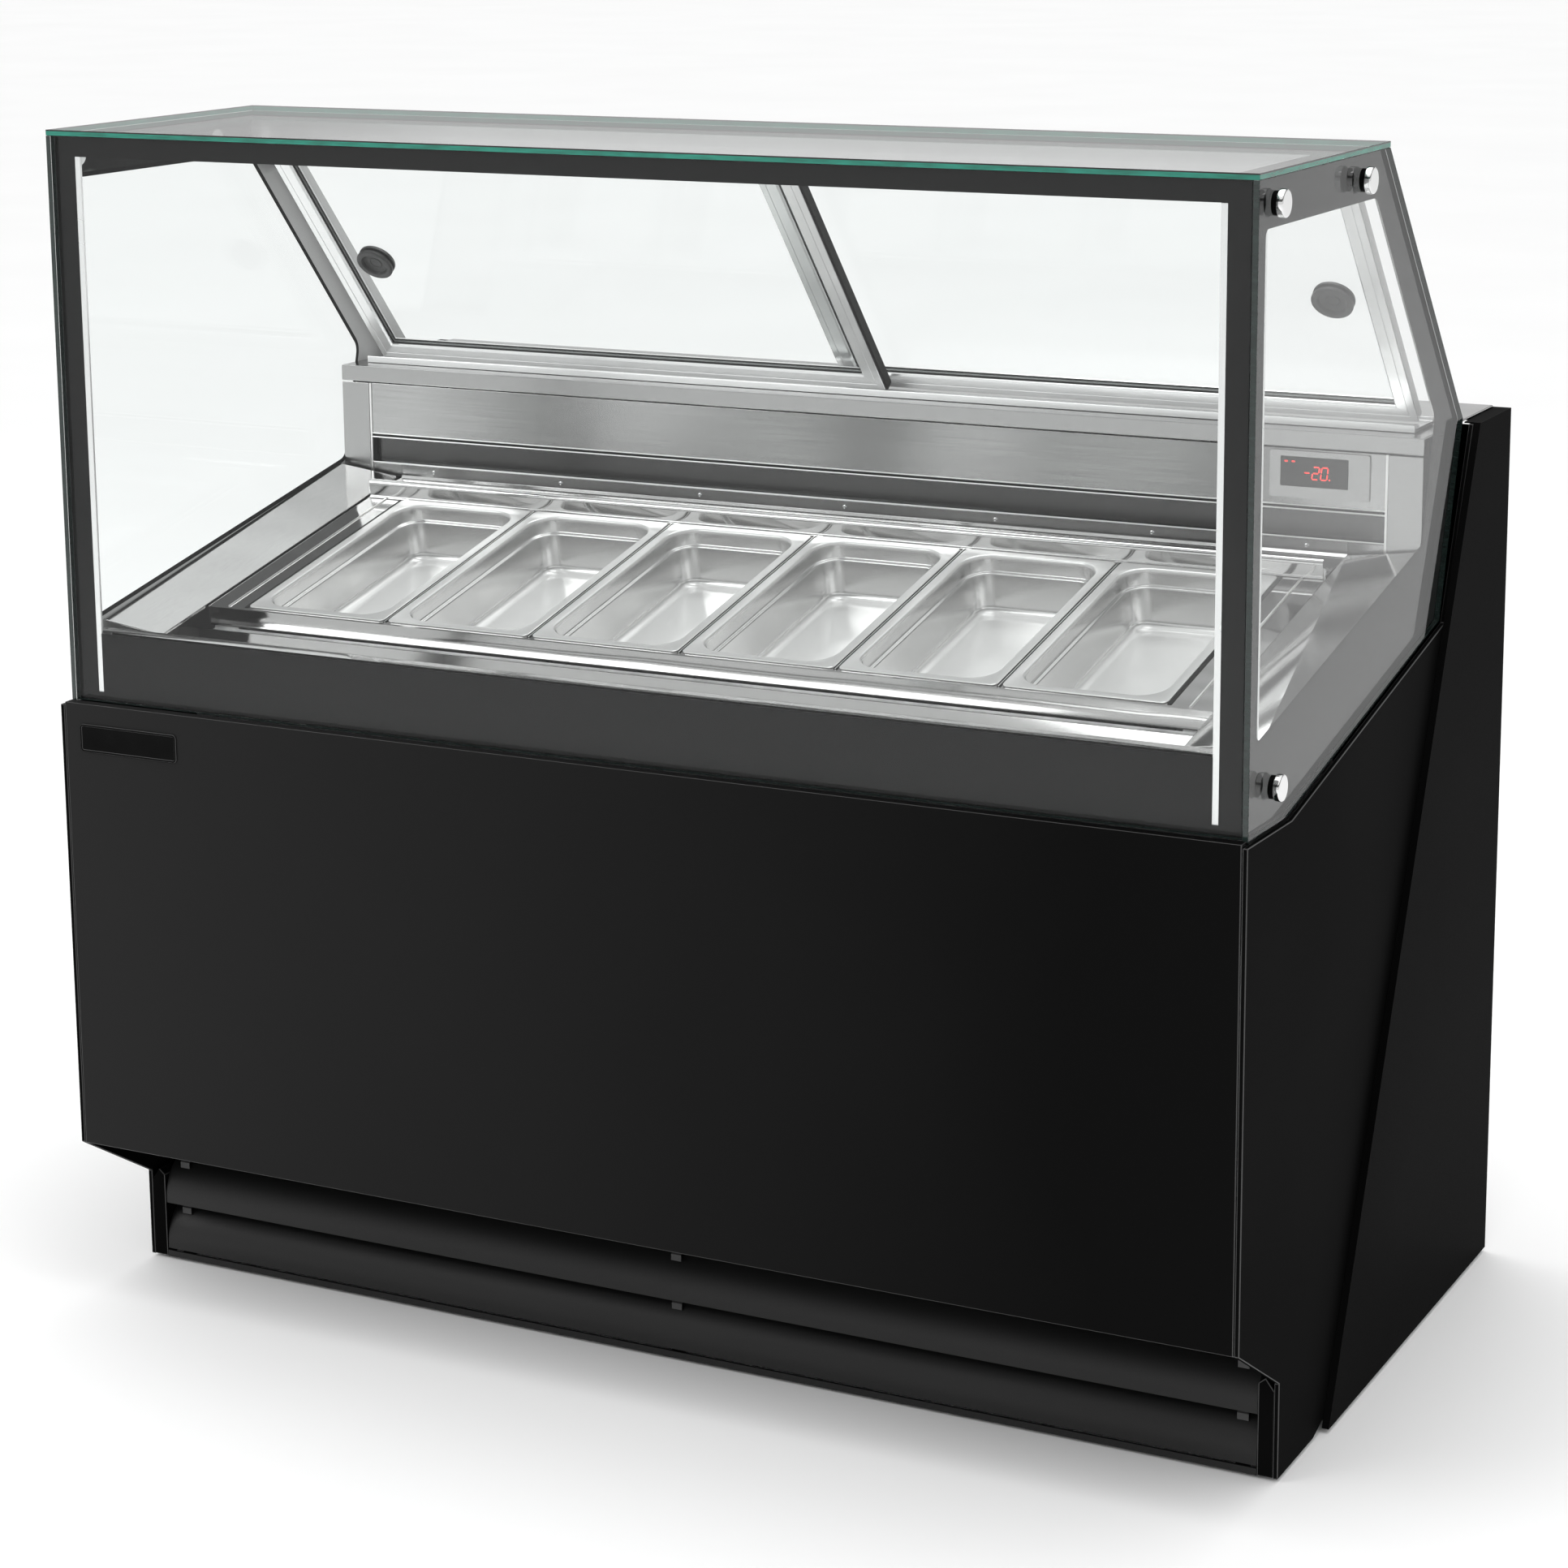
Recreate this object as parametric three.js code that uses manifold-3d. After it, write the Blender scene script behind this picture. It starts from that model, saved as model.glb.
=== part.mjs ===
// Ice cream dipping cabinet: a refrigerated counter with a glass display house above a tilted row of pans.
// Millimetres, +Z up, +X to the customer's right, the customer's side facing -Y.
// Everything is laid out with y = 0 on the front panel and z = 0 on the floor, in one group
// that is then shifted so that the origin lies at the bottom centre of the whole cabinet.

import * as THREE from 'three';
import { mergeVertices } from 'three/addons/utils/BufferGeometryUtils.js';
import Module from 'manifold-3d';

const wasm = await Module();
wasm.setup();

// ---- Driving dimensions ------------------------------------------------------------------------

const CLEARANCE = 0.3;
const HEIGHT = 1300;
const DEPTH = 800;
const PLATE_PROUD = 1.8;

const BODY_HALF_WIDTH = 682;
const END_HALF_WIDTH = 690;
const SIDE_PANEL_THICKNESS = 5.2;
const FRONT_PANEL_HALF_WIDTH = 676;
const LINER_HALF_WIDTH = 630;
const SHEET = 2;

const PANEL_BOTTOM = 178;
const PANEL_TOP = 682;
const BODY_BACK_Y = 788;
const KICK_Y = 118;
const KICK_TOP = 105;
const SKIRT_GAP = 4;

const GLASS_THICKNESS = 6;
const GLASS_HALF_WIDTH = 677;
const GLASS_INNER_HALF = GLASS_HALF_WIDTH - GLASS_THICKNESS;
const GLASS_FRONT_Y = 14.5;
const GLASS_TOP_BACK_Y = 391;
const TOP_GLASS_Z = HEIGHT - GLASS_THICKNESS;

// Corners of the side glass, as [y, z]: its lower edge steps up to the rear, then slants back to the top.
const GLASS_KNEE = [124, 679];
const GLASS_HEEL = [597, 778];
const GLASS_REAR = [663, 985];

// The end panel's slanted front edge.
const END_FOOT = [250, 5];
const END_SHOULDER = [685, 978];
const END_RETURN_INNER = 672;

const DECK_TILT = THREE.MathUtils.degToRad(12);
const DECK_FRONT = [150, 767];
const DECK_LENGTH = 338;
const DECK_HALF_WIDTH = 590;
const DECK_SHEET = 3;
const DECK_LIP = 22;
const DECK_UPSTAND = 12;

// Gastronorm third-size pans.
const PAN_COUNT = 6;
const PAN_PITCH = 181;
const PAN_LENGTH = 325;
const PAN_WIDTH = 176;
const PAN_DEPTH = 65;
const PAN_WALL = 1.5;
const PAN_RIM = 11;
const PAN_SHOULDER_DEPTH = 18;
const PAN_CENTRE_U = 168.5;

const WORKTOP_Z = 980;
const WORKTOP_FRONT_Y = 546.5;
const WORKTOP_HALF_WIDTH = 670.3;

const DOOR_THICKNESS = 14;
const DOOR_OUTER_X = 642;
const DOOR_OVERLAP_X = 32;
const DOOR_STILE = 22;
const DOOR_GLASS_THICKNESS = 4;
const DOOR_LOWEST_Z = 985.2;
const DOOR_HIGHEST_Z = 1259;
const REAR_DOOR_OFFSET = 26;
const FRONT_DOOR_OFFSET = 44;
const PULL_RADIUS = 22.5;
const PULL_FROM_EDGE = 60;
const PULL_ALONG = 207;

const KNOB_RADIUS = 13.3;
const KNOB_POSITIONS = [[55, 1270], [305, 1269], [75, 720]];

const FOOT_HEIGHT = 21.7;
const FOOT_RADIUS = 22;
const FOOT_X = 610;
const FOOT_FRONT_Y = 200;
const FOOT_REAR_Y = 745;
const CHASSIS_Z = 22;
const CHASSIS_LIP = 38;

// ---- Materials ---------------------------------------------------------------------------------

function material(color, roughness, metalness, opacity = 1) {
  return new THREE.MeshStandardMaterial({
    color, roughness, metalness, opacity, transparent: opacity < 1,
  });
}

const blackPaint = material(0x17171a, 0.45, 0.0);
const blackPlastic = material(0x1b1b1d, 0.5, 0.0);
const brushedSteel = material(0xb4b4b2, 0.35, 1.0);
const polishedSteel = material(0xc8c8c8, 0.12, 1.0);
const aluminium = material(0xd0d0ce, 0.3, 1.0);
const chrome = material(0xdadada, 0.05, 1.0);
const clearGlass = material(0xe6f2ee, 0.02, 0.0, 0.3);
const foamWhite = material(0xdcdcd8, 0.6, 0.0);
const rubber = material(0x101010, 0.8, 0.0);
const castIron = material(0x202022, 0.6, 0.3);
const finAluminium = material(0xbfc4c6, 0.45, 1.0);

// ---- Geometry helpers --------------------------------------------------------------------------

function outline(points) {
  return new THREE.Shape(points.map(([a, b]) => new THREE.Vector2(a, b)));
}

// A (y, z) outline drawn out along X.
function alongX(points, x0, x1) {
  const shape = points instanceof THREE.Shape ? points : outline(points);
  const settings = { depth: x1 - x0, bevelEnabled: false, curveSegments: 12 };
  const geometry = new THREE.ExtrudeGeometry(shape, settings);
  const toYZX = new THREE.Matrix4().makeBasis(
    new THREE.Vector3(0, 1, 0), new THREE.Vector3(0, 0, 1), new THREE.Vector3(1, 0, 0));
  geometry.applyMatrix4(toYZX);
  return geometry.translate(x0, 0, 0);
}

// An (x, z) outline drawn out along Y.
function alongY(points, y0, y1) {
  const shape = points instanceof THREE.Shape ? points : outline(points);
  const settings = { depth: y1 - y0, bevelEnabled: false, curveSegments: 12 };
  const geometry = new THREE.ExtrudeGeometry(shape, settings);
  geometry.rotateX(Math.PI / 2);
  return geometry.translate(0, y1, 0);
}

function block([x0, x1], [y0, y1], [z0, z1]) {
  const geometry = new THREE.BoxGeometry(x1 - x0, y1 - y0, z1 - z0);
  return geometry.translate((x0 + x1) / 2, (y0 + y1) / 2, (z0 + z1) / 2);
}

// A turned piece: [radius, height] points from the axis and back to it, standing on Z.
function turned(profile, segments = 32) {
  const points = profile.map(([radius, height]) => new THREE.Vector2(radius, height));
  return new THREE.LatheGeometry(points, segments).rotateX(Math.PI / 2);
}

function solid(geometry) {
  const bare = geometry.clone();
  bare.deleteAttribute('normal');
  bare.deleteAttribute('uv');
  const merged = mergeVertices(bare);
  return new wasm.Manifold(new wasm.Mesh({
    numProp: 3,
    vertProperties: new Float32Array(merged.attributes.position.array),
    triVerts: new Uint32Array(merged.index.array),
  }));
}

function geometryOf(manifold) {
  const mesh = manifold.getMesh();
  const geometry = new THREE.BufferGeometry();
  geometry.setAttribute('position', new THREE.BufferAttribute(new Float32Array(mesh.vertProperties), 3));
  geometry.setIndex(new THREE.BufferAttribute(new Uint32Array(mesh.triVerts), 1));
  geometry.computeVertexNormals();
  return geometry;
}

function joined(geometries) {
  return geometryOf(geometries.map(solid).reduce((whole, piece) => whole.add(piece)));
}

function cut(geometry, tools) {
  return geometryOf(tools.map(solid).reduce((whole, tool) => whole.subtract(tool), solid(geometry)));
}

function node(parent, name, geometry, look) {
  const mesh = new THREE.Mesh(geometry, look);
  mesh.name = name;
  parent.add(mesh);
  return mesh;
}

// Both hands of a piece: build(sign) gives its geometry on the side where x has that sign.
function pair(parent, name, look, build) {
  node(parent, `${name}_left`, build(-1), look);
  node(parent, `${name}_right`, build(1), look);
}

function span(sign, near, far) {
  return sign > 0 ? [near, far] : [-far, -near];
}

// ---- Cabinet -----------------------------------------------------------------------------------

const cabinet = new THREE.Group();
cabinet.position.y = -(DEPTH - PLATE_PROUD) / 2;

// Standing parts: levelling feet and the tray that carries the machine.

function levellingFoot() {
  return turned([[0, 0], [FOOT_RADIUS, 0], [FOOT_RADIUS, 5], [8, 9], [8, FOOT_HEIGHT], [0, FOOT_HEIGHT]], 20);
}

for (const [place, x, y] of [
  ['front_left', -FOOT_X, FOOT_FRONT_Y], ['front_right', FOOT_X, FOOT_FRONT_Y],
  ['rear_left', -FOOT_X, FOOT_REAR_Y], ['rear_right', FOOT_X, FOOT_REAR_Y],
]) {
  node(cabinet, `foot_${place}`, levellingFoot(), rubber).position.set(x, y, 0);
}

const trayFront = 165;
const trayBack = BODY_BACK_Y;
const trayTop = CHASSIS_Z + DECK_SHEET;
node(cabinet, 'chassis_tray', alongX([
  [trayFront, CHASSIS_Z], [trayBack, CHASSIS_Z], [trayBack, CHASSIS_Z + CHASSIS_LIP],
  [trayBack - DECK_SHEET, CHASSIS_Z + CHASSIS_LIP], [trayBack - DECK_SHEET, trayTop],
  [trayFront + DECK_SHEET, trayTop], [trayFront + DECK_SHEET, CHASSIS_Z + CHASSIS_LIP],
  [trayFront, CHASSIS_Z + CHASSIS_LIP],
], -FRONT_PANEL_HALF_WIDTH, FRONT_PANEL_HALF_WIDTH), blackPaint);

// Front panel: one folded sheet with a ledge under the glass and a sloping underside.

const undersideEnd = [KICK_Y - 6, PANEL_BOTTOM - 48];
node(cabinet, 'front_panel', alongX([
  [0, PANEL_BOTTOM], [undersideEnd[0] - 1, undersideEnd[1] - SHEET], undersideEnd,
  [SHEET, PANEL_BOTTOM + SHEET], [SHEET, PANEL_TOP - SHEET],
  [GLASS_FRONT_Y - 1, PANEL_TOP - SHEET], [GLASS_FRONT_Y - 1, PANEL_TOP], [0, PANEL_TOP],
], -FRONT_PANEL_HALF_WIDTH, FRONT_PANEL_HALF_WIDTH), blackPaint);

const PLATE_X = [-656, -529];
const PLATE_Z = [629, 660];
node(cabinet, 'name_plate', block(PLATE_X, [-PLATE_PROUD, -CLEARANCE], PLATE_Z), blackPlastic);

// Side panels follow the stepped lower edge of the side glass and run back under the end panels.

const topGap = 3;
const sideBottom = 12;
const sideTop = WORKTOP_Z - 4;
const sideOutline = [
  [0, PANEL_BOTTOM], [KICK_Y, KICK_TOP], [KICK_Y, SKIRT_GAP], [END_FOOT[0] - 25, SKIRT_GAP],
  [END_FOOT[0] + 2, sideBottom], [BODY_BACK_Y, sideBottom], [BODY_BACK_Y, sideTop],
  [GLASS_REAR[0] + 22, sideTop], [GLASS_HEEL[0] + topGap, GLASS_HEEL[1] - topGap],
  [GLASS_KNEE[0], GLASS_KNEE[1] - topGap], [0, PANEL_TOP - topGap],
];
pair(cabinet, 'side_panel', blackPaint, (sign) => alongX(
  sideOutline, ...span(sign, BODY_HALF_WIDTH - SIDE_PANEL_THICKNESS, BODY_HALF_WIDTH)));

// End panels: slanted outer cladding with folded returns on the front, top and back.

const returnStart = 0.82;
const returnFold = SHEET + 1;
const backFlangeX = 655;
const returnFoot = [
  END_FOOT[0] + (END_SHOULDER[0] - END_FOOT[0]) * returnStart,
  END_FOOT[1] + (END_SHOULDER[1] - END_FOOT[1]) * returnStart,
];
pair(cabinet, 'end_panel', blackPaint, (sign) => joined([
  alongX([END_FOOT, END_SHOULDER, [DEPTH, END_SHOULDER[1]], [DEPTH, END_FOOT[1]]],
    ...span(sign, BODY_HALF_WIDTH + CLEARANCE, END_HALF_WIDTH)),
  alongX([
    returnFoot, END_SHOULDER,
    [END_SHOULDER[0] + returnFold, END_SHOULDER[1]], [returnFoot[0] + returnFold, returnFoot[1]],
  ], ...span(sign, BODY_HALF_WIDTH + CLEARANCE, END_HALF_WIDTH - 1)),
  alongX([END_SHOULDER, [DEPTH, END_SHOULDER[1]], [DEPTH, END_SHOULDER[1] - 1.5],
    [END_SHOULDER[0], END_SHOULDER[1] - 1.5]], ...span(sign, END_RETURN_INNER, END_HALF_WIDTH - 1)),
  block(span(sign, backFlangeX, END_HALF_WIDTH - 1), [DEPTH - SHEET, DEPTH], [END_FOOT[1], END_SHOULDER[1]]),
]));

// Back of the machine room: a plain cover above a louvred grille, with the power cable's gland.

const COVER_HALF_WIDTH = 668;
const COVER_Y = [BODY_BACK_Y + 1, BODY_BACK_Y + 4];
const COVER_TOP = 958;
const GRILLE_Z = [30, 420];
const SLOT_ROWS = 10;
const SLOT_ROW_PITCH = 24;
const SLOT_BOTTOM_Z = 150;
const SLOT_COLUMNS = 6;
const SLOT_COLUMN_PITCH = 200;
const SLOT_LENGTH = 130;
const SLOT_HEIGHT = 9;

const coverX = [-COVER_HALF_WIDTH, COVER_HALF_WIDTH];
node(cabinet, 'rear_cover', block(coverX, COVER_Y, [GRILLE_Z[1] + 3, COVER_TOP]), blackPaint);

function grilleSlots() {
  const slots = [];
  const slotY = [COVER_Y[0] - 1, COVER_Y[1] + 1];
  for (let row = 0; row < SLOT_ROWS; row += 1) {
    for (let column = 0; column < SLOT_COLUMNS; column += 1) {
      const x = (column - (SLOT_COLUMNS - 1) / 2) * SLOT_COLUMN_PITCH;
      const z = SLOT_BOTTOM_Z + row * SLOT_ROW_PITCH;
      slots.push(block([x - SLOT_LENGTH / 2, x + SLOT_LENGTH / 2], slotY, [z, z + SLOT_HEIGHT]));
    }
  }
  return slots;
}

node(cabinet, 'rear_grille', cut(block(coverX, COVER_Y, GRILLE_Z), grilleSlots()), blackPaint);

const GLAND_OUTER = 14;
const GLAND_BORE = 5;
const gland = turned([
  [GLAND_BORE, 0], [GLAND_OUTER, 0], [GLAND_OUTER, 3], [GLAND_OUTER - 3, 7], [GLAND_BORE, 7], [GLAND_BORE, 0],
], 24).rotateX(-Math.PI / 2);
node(cabinet, 'cable_gland', gland, blackPlastic).position.set(560, COVER_Y[1] + CLEARANCE, 90);

// Kick: corner posts, two curved air louvres and the frame with the brackets that hold them.

const KICK_POST_X = [660, 676.3];
const KICK_POST_PEAK = [KICK_POST_X[1] - 9, 108];
pair(cabinet, 'kick_post', blackPaint, (sign) => alongY([
  [sign * KICK_POST_X[0], SKIRT_GAP], [sign * KICK_POST_X[1], SKIRT_GAP],
  [sign * KICK_POST_X[1], KICK_POST_PEAK[1] - 12], [sign * KICK_POST_PEAK[0], KICK_POST_PEAK[1]],
  [sign * KICK_POST_X[0], KICK_POST_PEAK[1] - 6],
], KICK_Y + 1, KICK_Y + 21));

const LOUVRE_HALF_WIDTH = 659.4;
const UPPER_LOUVRE_Z = 68;
const LOWER_LOUVRE_Z = 13;

// A louvre stands upright for a little and then curls back over the top.
function louvre(bottom) {
  const radius = 46;
  const shape = new THREE.Shape();
  const centreY = KICK_Y + 2 + radius;
  const centreZ = bottom + 8;
  shape.moveTo(KICK_Y + 2, bottom);
  shape.lineTo(KICK_Y + 2 + SHEET, bottom);
  shape.lineTo(KICK_Y + 2 + SHEET, centreZ);
  shape.absarc(centreY, centreZ, radius - SHEET, Math.PI, Math.PI * 0.6, true);
  shape.absarc(centreY, centreZ, radius, Math.PI * 0.6, Math.PI, false);
  return alongX(shape, -LOUVRE_HALF_WIDTH, LOUVRE_HALF_WIDTH);
}
node(cabinet, 'upper_louvre', louvre(UPPER_LOUVRE_Z), blackPaint);
node(cabinet, 'lower_louvre', louvre(LOWER_LOUVRE_Z), blackPaint);

// A bracket is an upright behind the louvres with a foot and a tab over each louvre.
function kickBracket(x) {
  const wide = [x - 7, x + 7];
  const back = KICK_Y + 40;
  const thickness = 3;
  const tabTops = [LOWER_LOUVRE_Z + 59, UPPER_LOUVRE_Z + 59];
  return [
    block(wide, [KICK_Y + 2, back], [SKIRT_GAP, SKIRT_GAP + thickness]),
    block(wide, [back - thickness, back], [SKIRT_GAP, UPPER_LOUVRE_Z + 59]),
    ...tabTops.map((top) => block(wide, [KICK_Y + 14, back], [top - thickness, top])),
  ];
}
node(cabinet, 'kick_frame', joined([
  block([-LOUVRE_HALF_WIDTH, LOUVRE_HALF_WIDTH], [KICK_Y + 1, KICK_Y + 4], [SKIRT_GAP, 11]),
  ...[-640, 0, 640].flatMap(kickBracket),
]), blackPaint);

// ---- Tilted deck: frame and lift-out pans ------------------------------------------------------

const deck = new THREE.Group();
deck.position.set(0, ...DECK_FRONT);
deck.rotation.x = DECK_TILT;
cabinet.add(deck);

function roundedRectangle(halfX, halfY, radius, segments = 4) {
  const points = [];
  for (let corner = 0; corner < 4; corner += 1) {
    const cx = (corner === 0 || corner === 3 ? 1 : -1) * (halfX - radius);
    const cy = (corner < 2 ? 1 : -1) * (halfY - radius);
    for (let step = 0; step <= segments; step += 1) {
      const angle = ((corner + step / segments) * Math.PI) / 2;
      points.push([cx + radius * Math.cos(angle), cy + radius * Math.sin(angle)]);
    }
  }
  return points;
}

const panCentres = Array.from({ length: PAN_COUNT }, (_, i) => (i - (PAN_COUNT - 1) / 2) * PAN_PITCH);

function deckPlate() {
  const shape = outline([
    [-DECK_HALF_WIDTH, 0], [DECK_HALF_WIDTH, 0],
    [DECK_HALF_WIDTH, DECK_LENGTH], [-DECK_HALF_WIDTH, DECK_LENGTH],
  ]);
  for (const x of panCentres) {
    const opening = roundedRectangle(PAN_WIDTH / 2 - PAN_RIM + 3, PAN_LENGTH / 2 - PAN_RIM + 3, 30, 3);
    shape.holes.push(new THREE.Path(opening.map(([a, b]) => new THREE.Vector2(x + a, PAN_CENTRE_U + b))));
  }
  const plate = new THREE.ExtrudeGeometry(shape, { depth: DECK_SHEET, bevelEnabled: false });
  return plate.translate(0, 0, -DECK_SHEET);
}
const deckSpan = [-DECK_HALF_WIDTH, DECK_HALF_WIDTH];
node(deck, 'deck_frame', joined([
  deckPlate(),
  block(deckSpan, [0, SHEET], [-DECK_LIP, 0]),
  block(deckSpan, [DECK_LENGTH - SHEET, DECK_LENGTH], [-DECK_SHEET, DECK_UPSTAND]),
]), polishedSteel);

// A pan is one shell: rounded rectangles from the outside of its floor, over the rim and down to the inside.
function panGeometry() {
  const halfX = PAN_WIDTH / 2 - PAN_RIM;
  const halfY = PAN_LENGTH / 2 - PAN_RIM;
  const rimBottom = CLEARANCE;
  const rimTop = CLEARANCE + PAN_WALL;
  const floor = -PAN_DEPTH + PAN_WALL;
  const rings = [
    [-14, 22, -PAN_DEPTH], [-7, 26, -PAN_DEPTH + 7], [-3.5, 29, -PAN_SHOULDER_DEPTH - 3],
    [0, 30, -PAN_SHOULDER_DEPTH], [1, 31, rimBottom], [PAN_RIM, 14, rimBottom], [PAN_RIM, 14, rimTop],
    [-0.5, 29.5, rimTop], [-1.5, 28.5, -PAN_SHOULDER_DEPTH + 1], [-5, 27.5, -PAN_SHOULDER_DEPTH - 3],
    [-8.5, 24.5, -PAN_DEPTH + 8], [-15.5, 20.5, floor],
  ];
  const segments = 4;
  const count = 4 * (segments + 1);
  const positions = [0, 0, -PAN_DEPTH];
  for (const [offset, radius, height] of rings) {
    for (const [x, y] of roundedRectangle(halfX + offset, halfY + offset, radius, segments)) {
      positions.push(x, y, height);
    }
  }
  positions.push(0, 0, floor);
  const index = [];
  const at = (ring, step) => 1 + ring * count + (step % count);
  for (let step = 0; step < count; step += 1) {
    index.push(0, at(0, step + 1), at(0, step));
    for (let ring = 0; ring < rings.length - 1; ring += 1) {
      index.push(at(ring, step), at(ring, step + 1), at(ring + 1, step + 1));
      index.push(at(ring, step), at(ring + 1, step + 1), at(ring + 1, step));
    }
    index.push(at(rings.length - 1, step), at(rings.length - 1, step + 1), 1 + rings.length * count);
  }
  const geometry = new THREE.BufferGeometry();
  geometry.setAttribute('position', new THREE.Float32BufferAttribute(positions, 3));
  geometry.setIndex(index);
  geometry.computeVertexNormals();
  return geometry;
}

panCentres.forEach((x, i) => {
  node(deck, `pan_${i + 1}`, panGeometry(), brushedSteel).position.set(x, PAN_CENTRE_U, 0);
});

// Side shelves beside the deck rise a little towards the side glass.
pair(deck, 'side_shelf', brushedSteel, (sign) => {
  const profile = [[592, -1], [670, 10], [670, 12.5], [592, 2]];
  return alongY(profile.map(([x, z]) => [sign * x, z]), -84, 398);
});

// ---- Cold tank, front trough and steel back wall -----------------------------------------------

const TANK_HALF_WIDTH = 588;
const TANK_WALL = 32;
const TANK_CAVITY_Y = [158, 490];
const TANK_CAVITY_FLOOR = 535;
node(cabinet, 'insulated_tank', cut(alongX([
  [118, 500], [522, 500], [522, 828], [492, 828], [165, 757],
  [157, 741], [149.5, 741], [149.5, 711], [118, 711],
], -TANK_HALF_WIDTH, TANK_HALF_WIDTH), [
  block([-TANK_HALF_WIDTH + TANK_WALL, TANK_HALF_WIDTH - TANK_WALL], TANK_CAVITY_Y, [TANK_CAVITY_FLOOR, 900]),
]), foamWhite);

const TROUGH_HALF_WIDTH = 666.5;
node(cabinet, 'front_trough', alongX([
  [30, 757], [30, 755], [52, 755], [103, 714], [148, 714], [148, 742], [146, 742], [146, 716],
  [104, 716], [53, 757],
], -TROUGH_HALF_WIDTH, TROUGH_HALF_WIDTH), polishedSteel);

const LINER_Y = 549;
const LINER_SHEET = 3;
const CHANNEL_DEPTH = 10;
const RETURN_Z = [868, 960];
const linerBack = LINER_Y + LINER_SHEET;
const channelBack = LINER_Y + CHANNEL_DEPTH;
node(cabinet, 'rear_liner', joined([
  alongX([
    [LINER_Y, 960], [LINER_Y, 896], [channelBack, 896], [channelBack, 865], [LINER_Y, 865], [LINER_Y, 847],
    [linerBack, 847], [linerBack, 862], [channelBack + LINER_SHEET, 862], [channelBack + LINER_SHEET, 899],
    [linerBack, 899], [linerBack, 960],
  ], -LINER_HALF_WIDTH, LINER_HALF_WIDTH),
  alongX([[485, 841], [485, 838], [linerBack, 845.6], [linerBack, 848.6]], -DECK_HALF_WIDTH, DECK_HALF_WIDTH),
  block([-WORKTOP_HALF_WIDTH, 1 - LINER_HALF_WIDTH], [LINER_Y - 3, linerBack], RETURN_Z),
  block([LINER_HALF_WIDTH - 1, WORKTOP_HALF_WIDTH], [LINER_Y - 3, linerBack], RETURN_Z),
]), brushedSteel);

node(cabinet, 'temperature_display', joined([
  block([503, 613], [LINER_Y - 3.5, LINER_Y - CLEARANCE], [908, 958]),
  block([515, 590], [LINER_Y - 5, LINER_Y - 3], [920, 952]),
]), blackPlastic);

const WORKTOP_BACK_Y = 797.2;
const worktopSheet = 2.2;
const worktopLip = WORKTOP_Z - 18.5;
node(cabinet, 'rear_worktop', alongX([
  [WORKTOP_FRONT_Y, WORKTOP_Z], [WORKTOP_FRONT_Y, worktopLip],
  [WORKTOP_FRONT_Y + worktopSheet, worktopLip], [WORKTOP_FRONT_Y + worktopSheet, WORKTOP_Z - worktopSheet],
  [WORKTOP_BACK_Y - worktopSheet, WORKTOP_Z - worktopSheet], [WORKTOP_BACK_Y - worktopSheet, worktopLip],
  [WORKTOP_BACK_Y, worktopLip], [WORKTOP_BACK_Y, WORKTOP_Z],
], -WORKTOP_HALF_WIDTH, WORKTOP_HALF_WIDTH), brushedSteel);

// ---- Glass house -------------------------------------------------------------------------------

node(cabinet, 'front_glass', block(
  [-GLASS_INNER_HALF + 0.7, GLASS_INNER_HALF - 0.7], [GLASS_FRONT_Y, GLASS_FRONT_Y + GLASS_THICKNESS],
  [PANEL_TOP + 0.5, TOP_GLASS_Z - CLEARANCE]), clearGlass);

node(cabinet, 'top_glass', block(
  [-GLASS_HALF_WIDTH, GLASS_HALF_WIDTH], [GLASS_FRONT_Y, GLASS_TOP_BACK_Y],
  [TOP_GLASS_Z, HEIGHT]), clearGlass);

pair(cabinet, 'side_glass', clearGlass, (sign) => alongX([
  [GLASS_FRONT_Y, 680], GLASS_KNEE, GLASS_HEEL, GLASS_REAR,
  [GLASS_TOP_BACK_Y, TOP_GLASS_Z - CLEARANCE], [GLASS_FRONT_Y, TOP_GLASS_Z - CLEARANCE],
], ...span(sign, GLASS_INNER_HALF, GLASS_HALF_WIDTH)));

// Angle profiles in the two front corners.
const PROFILE_OUTER = 670.2;
const PROFILE_LEG = 36;
const PROFILE_FRONT_LEG = 32;
const PROFILE_WEB = 3;
const PROFILE_FRONT_Y = GLASS_FRONT_Y + GLASS_THICKNESS + 0.5;
const PROFILE_Z = [692, 1272];
pair(cabinet, 'corner_profile', aluminium, (sign) => {
  const outer = sign * PROFILE_OUTER;
  const web = sign * (PROFILE_OUTER - PROFILE_WEB);
  const legEnd = sign * (PROFILE_OUTER - PROFILE_FRONT_LEG);
  const shape = outline([
    [outer, PROFILE_FRONT_Y], [outer, PROFILE_FRONT_Y + PROFILE_LEG], [web, PROFILE_FRONT_Y + PROFILE_LEG],
    [web, PROFILE_FRONT_Y + PROFILE_WEB], [legEnd, PROFILE_FRONT_Y + PROFILE_WEB], [legEnd, PROFILE_FRONT_Y],
  ]);
  const depth = PROFILE_Z[1] - PROFILE_Z[0];
  return new THREE.ExtrudeGeometry(shape, { depth, bevelEnabled: false }).translate(0, 0, PROFILE_Z[0]);
});

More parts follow.
